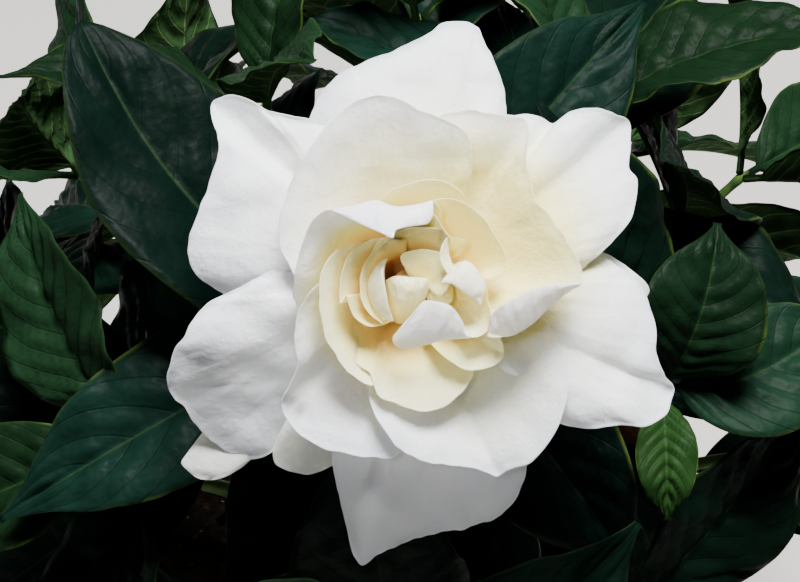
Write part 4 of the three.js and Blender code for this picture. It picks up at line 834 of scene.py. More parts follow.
@dataclass(frozen=True)
class Route:
    """The way of a stem: the quadratic curve that leaves start for elbow and ends at end."""

    start: Array
    elbow: Array
    end: Array

    def at(self, t: Array | float) -> tuple[Array, Array]:
        """Points and headings at shares of the way.

        Args:
            t: shares, 0 at the start to 1 at the end.

        Returns:
            A point and a heading of length one for each share.
        """
        t = np.atleast_1d(np.asarray(t, float))[:, None]
        point = (1 - t) ** 2 * self.start + 2 * t * (1 - t) * self.elbow + t**2 * self.end
        return point, unit((self.elbow - self.start) * (1 - t) + (self.end - self.elbow) * t)

    def tube(self, t: Array, radii: Array, around: int) -> Surface:
        """A closed round tube along shares of the way.

        Args:
            t: shares at which it has a ring.
            radii: radius of each ring, or a row of radii for each.
            around: points on a ring.

        Returns:
            The tube.
        """
        point, heading = self.at(t)
        side = np.broadcast_to(unit(np.cross(self.end - self.start, self.elbow - self.start)), point.shape)
        return ring_tube(point, side, np.cross(heading, side), radii, around)


@dataclass(frozen=True)
class Leaf:
    """A leaf: its midrib is the quadratic curve base, bend, tip, and its face looks towards up."""

    base: Array
    bend: Array
    tip: Array
    up: Array
    width: float
    wave: float = 0.0
    phase: float = 0.0
    youth: float = 0.0
    broad: tuple[float, float] = (0.9, 0.85)

    def half_width(self, s: Array) -> Array:
        """Half the width at s: a stalk, then width / 2 times sin(pi u^a)^b, with a and b from broad."""
        u = np.clip((s - STALK_SHARE) / (1 - STALK_SHARE), 0, 1)
        arch = np.maximum(np.sin(math.pi * u ** self.broad[0]), 0)
        return np.maximum(STALK_HALF, self.width / 2 * arch ** self.broad[1])

    def frame(self, s: Array) -> tuple[Array, Array, Array]:
        """Places along the midrib.

        Args:
            s: shares along the midrib.

        Returns:
            Points of the midrib, and the directions across the blade and square to it.
        """
        s = np.asarray(s, float)[..., None]
        middle = (1 - s) ** 2 * self.base + 2 * s * (1 - s) * self.bend + s**2 * self.tip
        along = unit((self.bend - self.base) * (1 - s) + (self.tip - self.bend) * s)
        normal = unit(self.up - along * (along @ self.up)[..., None])
        return middle, np.cross(along, normal), normal

    def face(self, s: Array, across: Array, lift: Array | float = 0.0, half: Array | None = None) -> Array:
        """Points of the blade: out to each side it rises as a shallow V, and its margins wave.

        Args:
            s: shares along the midrib.
            across: places across the blade, -1..1, of the same shape.
            lift: height over the middle face in mm.
            half: half widths, where they aren't the leaf's own.

        Returns:
            Positions.
        """
        middle, side, normal = self.frame(s)
        half = self.half_width(s) if half is None else half
        start = STALK_SHARE + 0.01
        past = np.maximum(0, s - start)
        u = past / (1 - start)
        # Both margins have about 2.4 waves, and one side is out of step with the other.
        turn = 15 * s + self.phase + np.where(across > 0, 1.7, 0)
        ripple = self.wave * np.sin(math.pi * u) * np.sin(turn)
        fold = BLADE_FOLD * np.minimum(1, np.minimum(6 * past, 12 * (1 - s)))
        raised = np.abs(across) * half * fold + across**2 * ripple + lift
        return middle + side * (across * half)[..., None] + normal * raised[..., None]


@dataclass
class Room:
    """Triangles, their edges and their box, for the test of whether two things cross."""

    points: Array
    triangles: Array

    def __post_init__(self) -> None:
        """Lists each edge once, and finds the box's corners."""
        pairs = self.triangles[:, [[0, 1], [1, 2], [2, 0]]].reshape(-1, 2)
        self.edges = np.unique(np.sort(pairs, axis=1), axis=0)
        self.low, self.high = self.points.min(0), self.points.max(0)

    def pierces(self, other: "Room") -> bool:
        """Whether an edge of this one passes through a triangle of the other."""
        a, b, c = (other.points[other.triangles[:, k]][:, None] for k in range(3))
        p, q = (self.points[self.edges[:, k]][None] for k in range(2))
        ab, ac, ray, start = b - a, c - a, q - p, p - a
        across = np.cross(ray, ac)
        size = (ab * across).sum(-1)
        over = 1 / np.where(size == 0, np.inf, size)
        second = np.cross(start, ab)
        products = (start * across, ray * second, ac * second)
        u, v, t = (product.sum(-1) * over for product in products)
        return bool(np.any((size != 0) & (u >= 0) & (v >= 0) & (u + v <= 1) & (t >= 0) & (t <= 1)))

    def crosses(self, other: "Room") -> bool:
        """Whether an edge of either passes through a triangle of the other."""
        if np.any(self.low > other.high) or np.any(other.low > self.high):
            return False
        return self.pierces(other) or other.pierces(self)

    @staticmethod
    def of(surface: Surface) -> "Room":
        """The room of a closed surface, whose faces are cut into triangles."""
        fans = [f[:, [0, k, k + 1]] for f in surface.faces for k in range(1, f.shape[1] - 1)]
        return Room(surface.points, np.concatenate(fans))


class Claim:
    """The middle face of a laid leaf and the room it keeps, whole and without its stalk."""

    STATIONS = np.array([0.0, 0.09, 0.37, 0.72, 1.0])

    def __init__(self, owner: str, leaf: Leaf) -> None:
        """Works out the rooms.

        Args:
            owner: the shoot that bears the leaf.
            leaf: the leaf.
        """
        self.owner, self.leaf = owner, leaf
        s, across = np.meshgrid(self.STATIONS, [-1.0, 0.0, 1.0], indexing="ij")
        depth = BLADE_THICKNESS + BLADE_CLEARANCE
        sheet = leaf.face(s, across).reshape(-1, 3)
        room = np.stack([leaf.face(s, across, -depth), leaf.face(s, across, depth)], axis=2).reshape(-1, 3)
        flat, thick = self.sheet_triangles(), self.blade_triangles()
        self.sheet, self.room = Room(sheet, flat), Room(room, thick)
        self.blade = Room(sheet, flat[flat.min(axis=1) >= 3])
        self.blade_room = Room(room, thick[thick.min(axis=1) >= 6])

    @classmethod
    def sheet_triangles(cls) -> Array:
        """Triangles of the middle face, section by section."""
        a = np.array([3 * i + k for i in range(len(cls.STATIONS) - 1) for k in (0, 1)])[:, None]
        return np.concatenate([a + [0, 1, 4], a + [0, 4, 3]])

    @classmethod
    def blade_triangles(cls) -> Array:
        """Triangles of the closed blade, whose sections have under and upper points by turns."""
        a = 6 * np.arange(len(cls.STATIONS) - 1)[:, None]
        parts = [a + [0, 1, 7], a + [0, 7, 6], a + [4, 11, 5], a + [4, 10, 11]]
        for k in (0, 2):
            parts += [a + k + [1, 3, 9], a + k + [1, 9, 7], a + k + [0, 8, 2], a + k + [0, 6, 8]]
            parts += [np.array([[k, k + 2, k + 3], [k, k + 3, k + 1]])]
            end = 6 * (len(cls.STATIONS) - 1) + k
            parts += [np.array([[end, end + 3, end + 2], [end, end + 1, end + 3]])]
        return np.concatenate(parts)

    def meets(self, other: "Claim") -> bool:
        """Whether the leaf meets another; leaves of one shoot may meet at their stalks."""
        if self.owner == other.owner:
            return self.blade.crosses(other.blade_room) or self.blade_room.crosses(other.blade)
        return self.sheet.crosses(other.room) or self.room.crosses(other.sheet)


@dataclass(frozen=True)
class ShootPlan:
    """Where a leafy shoot ends: turn about Z from +X and rise in degrees, reach as a share of the crown."""

    name: str
    turn: float
    rise: float
    reach: float

    def route(self) -> Route:
        """The way from the trunk to the crown's surface: up first, then outwards."""
        turn, rise = math.radians(self.turn), math.radians(self.rise)
        out = np.array([math.cos(turn), math.sin(turn), 0.0])
        flat = CROWN_WIDTH * self.reach * math.cos(rise)
        high = CROWN_HEIGHT * self.reach * math.sin(rise)
        end = np.array(CROWN_CENTRE) + out * flat + [0, 0, high]
        start = np.array([0, 0, COLLAR - FORKS * (1 - math.sin(rise))])
        elbow = start + out * ELBOW_OUT * flat + [0, 0, ELBOW_UP * (end[2] - start[2])]
        return Route(start, elbow, end)


@dataclass
class Foliage:
    """All leaves of the plant, laid by the rule that the solids follow, rank by rank over the shoots."""

    flowering: str = "flowering_shoot"
    plans: tuple[ShootPlan, ...] = (
        ShootPlan("shoot_right_front", -37, 44, 0.92),
        ShootPlan("shoot_left_front", -141, 36, 0.95),
        ShootPlan("shoot_low_front", -92, 6, 0.98),
        ShootPlan("shoot_low_right_front", -58, 14, 1),
        ShootPlan("shoot_low_left_front", -122, 10, 1),
        ShootPlan("shoot_right", -16, 16, 1.02),
        ShootPlan("shoot_left", -166, 14, 1.02),
        ShootPlan("shoot_right_back", 24, 30, 1),
        ShootPlan("shoot_left_back", 156, 31, 1),
        ShootPlan("shoot_low_right_back", 56, 6, 0.98),
        ShootPlan("shoot_back", 90, 26, 1),
        ShootPlan("shoot_low_left_back", 124, 4, 0.98),
        ShootPlan("shoot_top_right", 24, 66, 0.97),
        ShootPlan("shoot_top_left", 152, 68, 0.97),
        ShootPlan("shoot_top_back", 88, 62, 1),
    )
    # Leaves round the bloom and at the end of the right front shoot, in the bloom's frame: base (none:
    # the shoot's end), bend, tip, facing, width, youth and, for a blunt one, its form.
    framing: tuple = (
        ((-1, -1, -48), (-38, -5, -33), (-62.6, 50, -37), (0.36, 0.27, 0.89), 38, 0.0, (1.15, 0.6)),
        ((-1, -2, -48), (-40, -20, -36), (-79, -45, -44), (-0.12, 0.3, 0.95), 31, 0.0),
        ((0, -2, -58), (-14, -32, -52), (-38, -62, -62), (0.1, 0.1, 0.98), 30, 0.0),
        ((1, -1, -52), (24, -28, -40), (44, -56, -54), (-0.2, 0.1, 0.97), 30, 0.0),
        ((1, 1, -50), (20, 28, -38), (46, 56, -56), (-0.1, -0.2, 0.97), 31, 0.0),
    )
    right: tuple = (
        (None, (56, -8, -31), (58.4, 12, -40), (0.1, 0, 1), 25, 0.15),
        (None, (68, -22, -46), (86, -4, -56), (-0.1, 0.2, 0.97), 27, 0.1),
        (None, (48.5, -33, -36), (49, -45, -42), (0, 0.3, 0.95), 12, 0.6),
    )
    # Least length in mm, middle lift and droop in degrees, and youth of top leaves and of those below.
    young: tuple[float, ...] = (44, 52, 16, 0.22)
    grown: tuple[float, ...] = (62, 34, -8, 0.03)
    # Where a leaf that would cross another is tried next: swing round its stem and rise, in degrees.
    tries: tuple[tuple[float, float], ...] = (
        (0, 0), (14, 0), (-14, 0), (0, 18), (0, -18), (26, 12), (-26, 12), (26, -14), (-26, -14), (40, 0),
        (-40, 0), (12, 34), (-12, 34), (12, -34), (-12, -34),
    )

    def __post_init__(self) -> None:
        """Lays all leaves."""
        self.routes = {plan.name: plan.route() for plan in self.plans}
        calyx = from_bloom(np.array([0, 0, CALYX_FOOT]))
        self.routes[self.flowering] = Route(np.array([0, 0, COLLAR]), np.array([0, 6.0, 214]), calyx)
        self.laid: list[Claim] = []
        self.obstacles = [("bloom", self.bloom_room()), ("pot", self.pot_room())]
        # A stem keeps the room of a square tube that is a little thicker than it.
        for name, route in self.routes.items():
            tube = route.tube(np.linspace(0.04, 1, 9), np.linspace(3.2, 2.6, 9), 4)
            self.obstacles.append((name, Room.of(tube)))
        for owner, rows in ((self.flowering, self.framing), (self.plans[0].name, self.right)):
            for index, row in enumerate(rows):
                self.lay(owner, self.set_leaf(row, index))
        draw = draws_from(SEED)
        spins = [360 * draw() for _ in self.plans]
        for rank in range(WHORLS):
            for plan, spin in zip(self.plans, spins):
                whorl = self.whorl(self.routes[plan.name], rank, spin, draw)
                if rank > 0 or plan is not self.plans[0]:
                    for places in whorl:
                        any(self.lay(plan.name, leaf) for leaf in places)

    @staticmethod
    def bloom_room() -> Room:
        """The room that the bloom keeps: a body of revolution in its frame."""
        profile = [(9, -34), (9, -20), (30, -18.5), (50, -15.5), (50, 2), (32, 17)]
        return Room.of(turned([(0.001, -44), (6, -44), *profile, (0.001, 17)], 12).from_bloom())

    @staticmethod
    def pot_room() -> Room:
        """The room that the pot and the soil keep."""
        return Room.of(turned([(0.001, 0), (54, 0), (77, 102), (77, 132), (0.001, 132)], 12))

    def set_leaf(self, row: tuple, index: int) -> Leaf:
        """A leaf that is given one by one in a list.

        Args:
            row: its base, bend, tip, facing, width, youth and perhaps its form.
            index: its number in its list, which shifts its waves.

        Returns:
            The leaf in the plant's frame.
        """
        base, bend, tip, up, width, youth, *broad = row
        start = self.routes[self.plans[0].name].end if base is None else from_bloom(np.array(base, float))
        ends = from_bloom(np.array([bend, tip], float))
        return Leaf(start, ends[0], ends[1], facing(up), width, 0.045 * width, 1.1 * index, youth, *broad)

    def whorl(self, route: Route, rank: int, spin: float, draw: Callable[[], float]) -> list[list[Leaf]]:
        """The three leaves of a whorl, each with the places to try for it.

        A leaf leaves its stem at an angle of lift, arches over half way, and goes on at its droop.

        Args:
            route: the stem's way.
            rank: 0 for the youngest whorl at the tip.
            spin: turn of the shoot's first whorl in degrees.
            draw: gives seeded draws.

        Returns:
            For each leaf, its tries.
        """
        point, heading = (v[0] for v in route.at(WHORL_TOP - WHORL_STEP * rank))
        across = unit(np.array([-heading[1], heading[0], 0]))
        over = np.cross(heading, across)
        least, steep, level, youth = self.young if rank == 0 else self.grown
        whorl = []
        for k in range(3):
            angle = spin + 60 * rank + 120 * k + 18 * (draw() - 0.5)
            length = least + 16 * draw()
            lift = steep + 16 * (draw() - 0.5)
            droop = level + 22 * (draw() - 0.5)
            phase = 6.28 * draw()
            places = []
            for swing, rising in self.tries:
                turn, first, last = map(math.radians, (angle + swing, lift + rising, droop + rising))
                out = across * math.cos(turn) + over * math.sin(turn)
                bend = point + 0.5 * length * (out * math.cos(first) + heading * math.sin(first))
                tip = bend + 0.54 * length * (out * math.cos(last) + heading * math.sin(last))
                base = point + out * 0.5 * SHOOT_RADIUS
                places.append(Leaf(base, bend, tip, heading, 0.45 * length, 0.03 * length, phase, youth))
            whorl.append(places)
        return whorl

    def lay(self, owner: str, leaf: Leaf) -> bool:
        """Lays a leaf if it crosses nothing.

        Args:
            owner: the shoot that bears it.
            leaf: the leaf.

        Returns:
            Whether it was laid.
        """
        mine = Claim(owner, leaf)
        for name, room in self.obstacles:
            if (mine.blade if name == owner else mine.sheet).crosses(room):
                return False
        if any(mine.meets(other) for other in self.laid):
            return False
        self.laid.append(mine)
        return True

    def leaves_of(self, owner: str) -> list[Leaf]:
        """The leaves that a shoot bears."""
        return [claim.leaf for claim in self.laid if claim.owner == owner]


# ------------------------------------------------------------------ the pieces


def dress_piece(piece: bpy.types.Object, node: str) -> None:
    """Lets a piece ride on the plant's root body, and hides the solid that it replaces.

    Args:
        piece: the piece's object.
        node: the solid that it replaces.
    """
    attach(piece, "root")
    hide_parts(node)
    LOG.info("%s: %d faces", piece.name, len(piece.data.polygons))


@dataclass
class ClayPot:
    """A florist's pot: tapered body, thick rim, four drain holes in its floor."""

    around: int = 160
    step: float = 2.0
    drains: int = 4
    drain_radius: float = 5.0
    drain_circle: float = 27.0
    wobble: float = 0.18

    @staticmethod
    def bore(z: float) -> float:
        """Inner radius at a height."""
        return POT_BASE + (POT_SHOULDER - POT_BASE) / (POT_HEIGHT - POT_RIM_HEIGHT) * z - POT_WALL

    def profile(self) -> Array:
        """The section, up the outside and down the inside, with its corners rounded.

        Returns:
            Rows of radius and height in mm, about a step apart.
        """
        base, neck, rim, floor, top = POT_BASE, POT_SHOULDER, POT_RIM, POT_FLOOR, POT_HEIGHT
        foot, mouth, well = top - POT_RIM_HEIGHT, self.bore(top), self.bore(floor)
        corners = np.array([
            (0.5, 0), (base - 2.4, 0), (base - 0.6, 0.6), (base + 0.2, 2.4), (neck - 0.6, foot - 3),
            (neck, foot - 0.4), (rim - 2.8, foot + 0.3), (rim - 1.3, foot + 1.6), (rim - 0.8, foot + 4),
            (rim, top - 4.2), (rim - 0.6, top - 1.4), (rim - 2.4, top - 0.1), (rim - 4.6, top),
            (mouth + 1.4, top - 0.4), (mouth + 0.1, top - 2.4), (self.bore(floor + 5), floor + 5),
            (well - 1.6, floor + 1.4), (well - 5.5, floor), (0.5, floor),
        ])
        counts = [max(2, int(length / self.step) + 1) for length in step_lengths(corners)]
        rows = [np.linspace(a, b, n, endpoint=False) for a, b, n in zip(corners, corners[1:], counts)]
        return np.concatenate([*rows, corners[-1:]])

    def build(self) -> None:
        """Builds the pot, slightly out of round as a fired pot is, and cuts its drain holes."""
        body = turned(self.profile(), self.around)
        rounding = waves(body.points * [1, 1, 0.5], 90.0, 5, 2) * self.wobble
        out = body.points * [1, 1, 0]
        body.points += unit(out) * (rounding * smooth(body.points[:, 2], 4, 20))[:, None]
        pot = body.add_to_scene("pot_clay", ClayFinish().make())
        holes = []
        for k in range(self.drains):
            turn = 2 * math.pi * (k + 0.5) / self.drains
            hole = turned([(0.5, -5), (self.drain_radius, -5), (self.drain_radius, 15), (0.5, 15)], 40)
            hole.points += [self.drain_circle * math.cos(turn), self.drain_circle * math.sin(turn), 0]
            holes.append(hole)
        drills = Surface.joined(holes).add_to_scene("drills", pot.data.materials[0])
        cut = pot.modifiers.new("drain_holes", "BOOLEAN")
        cut.operation, cut.solver, cut.object = "DIFFERENCE", "EXACT", drills
        bored = pot.evaluated_get(bpy.context.evaluated_depsgraph_get())
        mesh = bpy.data.meshes.new_from_object(bored)
        pot.modifiers.clear()
        pot.data = mesh
        bpy.data.objects.remove(drills)
        dress_piece(pot, "pot")


@dataclass
class PottingMix:
    """The soil: a low lumpy mound with crumbs, bits of bark and some perlite."""

    rings: int = 110
    around: int = 240
    chips: int = 620
    chip_size: tuple[float, float] = (1.2, 4.2)

    @staticmethod
    def height(x: Array, y: Array) -> Array:
        """Height of the soil, as on the solid: a mound with lumps from three crossing waves."""
        reach = np.hypot(x, y) / ClayPot.bore(SOIL_TOP)
        lumps = np.sin(0.31 * x + 1.3) * np.sin(0.27 * y + 0.4) + 0.6 * np.sin(0.19 * (x + y))
        return SOIL_TOP + SOIL_CROWN * (1 - reach**2) + SOIL_LUMP * lumps * (1 - reach**4)

    def body(self) -> Surface:
        """The mound on a polar grid, with crumbs of 1 to 6 mm, closed by its wall and its floor."""
        gap = 0.3
        rim, foot, low = ClayPot.bore(SOIL_TOP) - gap, POT_FLOOR + gap, SOIL_TOP - 30
        radius = np.linspace(0.4, rim, self.rings)[:, None]
        angle = round_turns(self.around)
        x, y = radius * np.cos(angle), radius * np.sin(angle)
        points = beside(x, y, self.height(x, y))
        crumbs = 0.7 * np.abs(waves(points, 7.0, 21, 3)) + 0.45 * np.abs(waves(points, 2.6, 22, 2))
        points[..., 2] += (crumbs - 0.35) * smooth(rim - radius, 0, 3)
        wall = [(ClayPot.bore(low) - gap, low), (ClayPot.bore(foot + 4) - gap, foot + 4)]
        wall += [(ClayPot.bore(foot) - 4 - gap, foot), (0.4, foot)]
        lower = [beside(r * np.cos(angle), r * np.sin(angle), z) for r, z in wall]
        return closed_rings(np.concatenate([points, np.array(lower)])[::-1])

    def bits(self) -> Surface:
        """Chips strewn over the mound: each an uneven crystal of 6 corners, half sunk in."""
        rng = np.random.default_rng(77)
        reach = ClayPot.bore(SOIL_TOP) - 4
        radius = reach * np.sqrt(rng.uniform(0.02, 1, self.chips))
        angle = rng.uniform(0, 2 * math.pi, self.chips)
        x, y = radius * np.cos(angle), radius * np.sin(angle)
        middle = beside(x, y, self.height(x, y) + 0.35)
        kind = rng.uniform(0, 0.8, self.chips)
        white = rng.uniform(size=self.chips) < 0.13
        kind[white] = rng.uniform(0.9, 1, white.sum())
        size = rng.uniform(*self.chip_size, self.chips) * np.where(white, 0.55, 1)
        corners = np.array([(1, 0, 0), (-1, 0, 0), (0, 1, 0), (0, -1, 0), (0, 0, 1), (0, 0, -1)], float)
        flat = beside(size, size * rng.uniform(0.4, 0.8, self.chips), size * np.where(white, 0.7, 0.3))
        shape = corners[None] * flat[:, None] * rng.uniform(0.6, 1.1, (self.chips, 6, 1)) / 2
        turn, tip = rng.uniform(0, 2 * math.pi, self.chips), rng.normal(0, 0.35, self.chips)
        px, py, pz = np.moveaxis(shape, -1, 0)
        # Each bit tips about its Y, then turns about Z.
        cosine, sine = np.cos(tip)[:, None], np.sin(tip)[:, None]
        px, pz = px * cosine - pz * sine, px * sine + pz * cosine
        cosine, sine = np.cos(turn)[:, None], np.sin(turn)[:, None]
        points = beside(px * cosine - py * sine, px * sine + py * cosine, pz) + middle[:, None]
        upper = [(0, 2, 4), (2, 1, 4), (1, 3, 4), (3, 0, 4)]
        lower = [(2, 0, 5), (1, 2, 5), (3, 1, 5), (0, 3, 5)]
        faces = (np.array(upper + lower) + 6 * np.arange(self.chips)[:, None, None]).reshape(-1, 3)
        value = np.repeat(beside(kind, 0.0, 0.0), 6, axis=0)
        return Surface(points.reshape(-1, 3), [faces], {"chip": value})

    def build(self) -> None:
        """Builds the mound and its bits."""
        dress_piece(self.body().add_to_scene("soil_mound", SoilFinish().make()), "soil")
        dress_piece(self.bits().add_to_scene("soil_bits", ChipFinish().make()), "soil")


@dataclass
class WoodyStem:
    """The trunk with a branch for each shoot, up to where the green growth begins."""

    foliage: Foliage
    around: int = 28
    step: float = 1.6

    def limb(
        self, route: Route, share: float, first: float, last: float, flare: float, seed: int
    ) -> Surface:
        """A limb that tapers, flares at its foot and swells at the scars of old leaves.

        Args:
            route: its way.
            share: how much of the way it takes.
            first: radius at its foot in mm.
            last: radius at its end.
            flare: what the foot adds to that.
            seed: picks the unevenness.

        Returns:
            The closed limb.
        """
        length = step_lengths(route.at(np.array([0.0, share]))[0])[0]
        rows = int(length / self.step) + 4
        t = np.linspace(0, share, rows)
        point, _ = route.at(t)
        along = np.linspace(0, 1, rows)[:, None]
        angle = round_turns(self.around)
        radius = first + (last - first) * along + flare * (1 - smooth(along, 0, 0.16))
        # A scar every 15 mm, five broad and nine narrow ridges that wind a little, and knots of 8 mm.
        rings = along * length / 15.0
        scars = 0.34 * np.exp(-(((rings + 0.37 * seed) % 1.0 - 0.5) ** 2) / 0.006)
        ridges = 0.2 * np.sin(5 * angle + 3.0 * along + seed) + 0.12 * np.sin(9 * angle - 7 * along)
        place = beside(np.cos(angle) * 4, np.sin(angle) * 4, point[:, 2:])
        radius = radius + scars + ridges * 0.6 + 0.3 * waves(place, 8.0, seed)
        return route.tube(t, radius, self.around)

    def build(self) -> None:
        """Builds the trunk and all branches as one piece of bark."""
        # The middle point is a hair aside, as a straight way has no direction across it.
        trunk = Route(*np.array([(0, 0, STEM_FOOT), (0, 0.02, SOIL_TOP), (0, 0, COLLAR + 3)]))
        limbs = [self.limb(trunk, 1.0, FOOT_RADIUS, COLLAR_RADIUS, 0.0, 1)]
        for k, route in enumerate(self.foliage.routes.values()):
            limbs.append(self.limb(route, SHOOT_START, BRANCH_RADIUS, BRANCH_END, 0.9, k + 2))
        bark = Surface.joined(limbs).add_to_scene("stem_bark", BarkFinish().make())
        dress_piece(bark, "woody_stem")


@dataclass
class LeafyShoot:
    """A green shoot: its soft stem with swellings where leaves join, the bud at its tip, and its leaves."""

    name: str
    route: Route
    leaves: list[Leaf]
    rows: int = 58
    across: int = 19
    pairs_of_veins: float = 9.0
    slant: float = 0.2
    # Heights in mm: of the blade between its veins, its broad buckles and how long they are, the crimp
    # of its margin, the groove and keel of its midrib and half their width.
    quilt: float = 1.05
    buckle: float = 0.85
    buckle_length: float = 11.0
    crimp: float = 0.2
    groove: float = 0.2
    groove_width: float = 0.7
    keel: float = 0.55
    keel_width: float = 0.75
    # Half the thickness of the blade, what the stalk adds to it, and how far the stem swells at a whorl.
    half_thickness: float = 0.26
    stalk_extra: float = 0.55
    swelling: float = 0.55

    def stem(self, tip_radius: float = SHOOT_TIP_RADIUS) -> Surface:
        """The stem, which ends in a pointed bud where no bloom sits on it.

        Args:
            tip_radius: radius at its end.

        Returns:
            The closed stem.
        """
        t = np.linspace(SHOOT_START - 0.004, 1, 72)
        share = (t - t[0]) / (t[-1] - t[0])
        radius = SHOOT_RADIUS + (tip_radius - SHOOT_RADIUS) * share
        for rank in range(WHORLS):
            radius = radius + self.swelling * np.exp(-(((t - WHORL_TOP + WHORL_STEP * rank) / 0.012) ** 2))
        if tip_radius < SHOOT_RADIUS:
            radius = radius * np.sqrt(np.clip((1.0 - t) / 0.03, 0.004, 1))
        around = 20
        return self.route.tube(t, radius[:, None] * (1 + 0.04 * np.cos(3 * round_turns(around))), around)

    def blade(self, leaf: Leaf, index: int) -> Surface:
        """One leaf: a round stalk that widens into a blade quilted between its side veins.

        The blade bulges between the veins by quilt times sin^2, its midrib is a groove above and a keel
        below, its tip is drawn out, and it thins to its margins.

        Args:
            leaf: the leaf.
            index: its number, for its own tint.

        Returns:
            The closed leaf, with the values "blade" and "leaf".
        """
        line = np.linspace(1, -1, self.across)
        line = np.sign(line) * np.abs(line) ** 1.15
        s, across = np.meshgrid(np.linspace(0, 1, self.rows), line, indexing="ij")
        past = np.clip((s - STALK_SHARE) / (1 - STALK_SHARE), 0, 1)
        off = np.abs(across)
        # The tip is drawn out, unless the leaf is a blunt one.
        pointed = 0.34 if leaf.broad[1] > 0.8 else 0.0
        drawn = 1 - pointed * smooth(s, 0.78, 0.96) * (1 - smooth(s, 0.97, 1.0))
        half = np.where(s > 0.5, np.maximum(0.3, leaf.half_width(s) * drawn), leaf.half_width(s))
        # The side veins slant forwards and curve on to the margin; the blade is quilted between them.
        count = self.pairs_of_veins * (past**0.9 - self.slant * (off + 0.35 * off**2))
        fading = smooth(past, 0.02, 0.12) * (1 - smooth(past, 0.86, 1.0)) * np.minimum(1, off * 7)
        bulge = self.quilt * np.sin(math.pi * count) ** 2 * (1 - off**3) * fading
        crimp = self.crimp * np.sin(2 * math.pi * count + index) * off**4 * fading
        bulge = bulge + self.buckle * waves(leaf.face(s, across), self.buckle_length, index, 2) * fading
        groove = -self.groove * np.exp(-((off * half / self.groove_width) ** 2)) * smooth(past, 0.02, 0.1)
        stalk = 1 - smooth(s, STALK_SHARE, STALK_SHARE + 0.08)
        thick = self.half_thickness * np.sqrt(np.clip(1 - off**4, 0.2, 1))
        thick = thick + stalk * self.stalk_extra * np.sqrt(np.clip(1 - off**2, 0, 1))
        thick = thick * np.clip((1 - s) / 0.01, 0.2, 1)
        middle = np.exp(-((off * half / self.keel_width) ** 2))
        keel = self.keel * (1 - 0.7 * past) * middle * smooth(past, 0.0, 0.08)
        over = leaf.face(s, across, bulge + crimp + groove + thick, half)
        under = leaf.face(s, across, bulge + crimp - thick - keel, half)
        tint = (index * 0.618) % 1.0
        own = beside(0 * s + leaf.youth, tint, 0.0)
        return closed_sheet(over, under, {"blade": beside(count + 20, across, 0.0), "leaf": own})

    def foliage(self) -> Surface:
        """All leaves of the shoot."""
        seed = sum(map(ord, self.name))
        return Surface.joined([self.blade(leaf, seed + k) for k, leaf in enumerate(self.leaves)])

    def build(self, stem: bpy.types.Material, leaf: bpy.types.Material) -> None:
        """Builds the stem and the leaves.

        Args:
            stem: the stem's finish.
            leaf: the leaves' finish.
        """
        for part, surface, finish in (("stem", self.stem(), stem), ("leaves", self.foliage(), leaf)):
            dress_piece(surface.add_to_scene(f"{self.name}_{part}", finish), self.name)


@dataclass
class FloweringShoot(LeafyShoot):
    """The shoot that bears the bloom: its stem ends in a ribbed calyx with six narrow sepals."""

    sepals: int = 6

    def cup(self) -> Surface:
        """The calyx tube with its ribs, turned about the bloom's axis."""
        foot, floor, rim, wide, bore = CALYX_FOOT, CALYX_FLOOR, CALYX_RIM, CALYX_RADIUS, 2.9
        profile = [
            (0.3, foot - 1), (1.7, foot - 1), (2.3, foot + 0.6), (3.0, foot + 2.5), (3.8, foot + 4.6),
            (wide, floor - 0.4), (wide + 0.1, rim - 0.4), (wide - 0.2, rim), (bore + 0.2, rim),
            (bore, rim - 0.4), (bore, floor), (0.3, floor),
        ]
        return turned(profile, 72, 0.045, self.sepals).from_bloom()

    def sepal(self, k: int) -> Surface:
        """A narrow sepal, keeled on its back, leaning outwards from the cup's rim.

        Args:
            k: its number round the cup.

        Returns:
            The closed sepal.
        """
        turn = 2 * math.pi * k / self.sepals
        out = np.array([math.cos(turn), math.sin(turn), 0.0])
        rise = [(-0.6, -0.5), (0.6, 7), (3.4, 14)]
        way = np.array([out * (CALYX_RADIUS + r) + [0, 0, CALYX_FLOOR + z] for r, z in rise])
        base, bend, tip = from_bloom(way)
        leaf = Leaf(base, bend, tip, facing(-out + [0, 0, 0.2]), 2.4)
        s, across = np.meshgrid(np.linspace(0, 1, 26), np.linspace(1, -1, 9), indexing="ij")
        half = 1.3 * np.sqrt(np.clip(1 - s**1.6, 0.01, 1))
        thick = 0.32 * np.sqrt(np.clip(1 - across**2, 0.04, 1)) * (1 - 0.6 * s)
        over = leaf.face(s, across, thick, half)
        under = leaf.face(s, across, -thick - 0.35 * (1 - s) * (1 - np.abs(across)), half)
        return closed_sheet(over, under)

    def stem(self, tip_radius: float = SHOOT_RADIUS) -> Surface:
        """The stem, as thick at its end as along it, with the calyx and its sepals."""
        sepals = [self.sepal(k) for k in range(self.sepals)]
        return Surface.joined([super().stem(tip_radius), self.cup(), *sepals])


class Whorl(Enum):
    """The bloom's petals from outside in."""

    BACK = "back"
    OUTER = "outer"
    INNER = "inner"
    CUP = "cup"
    SWIRL = "swirl"
    CAP = "cap"


@dataclass(frozen=True)
class PetalForm:
    """How the petals of a whorl are shaped, and how warm their colour is at rim and root, from 0 to 1.

    A petal has its thickness, rolls back at its rim, is crowned over its middle and swells softly, in mm.
    """

    thickness: float
    roll: float
    crown: float
    swell: float
    rim_warmth: float
    root_warmth: float


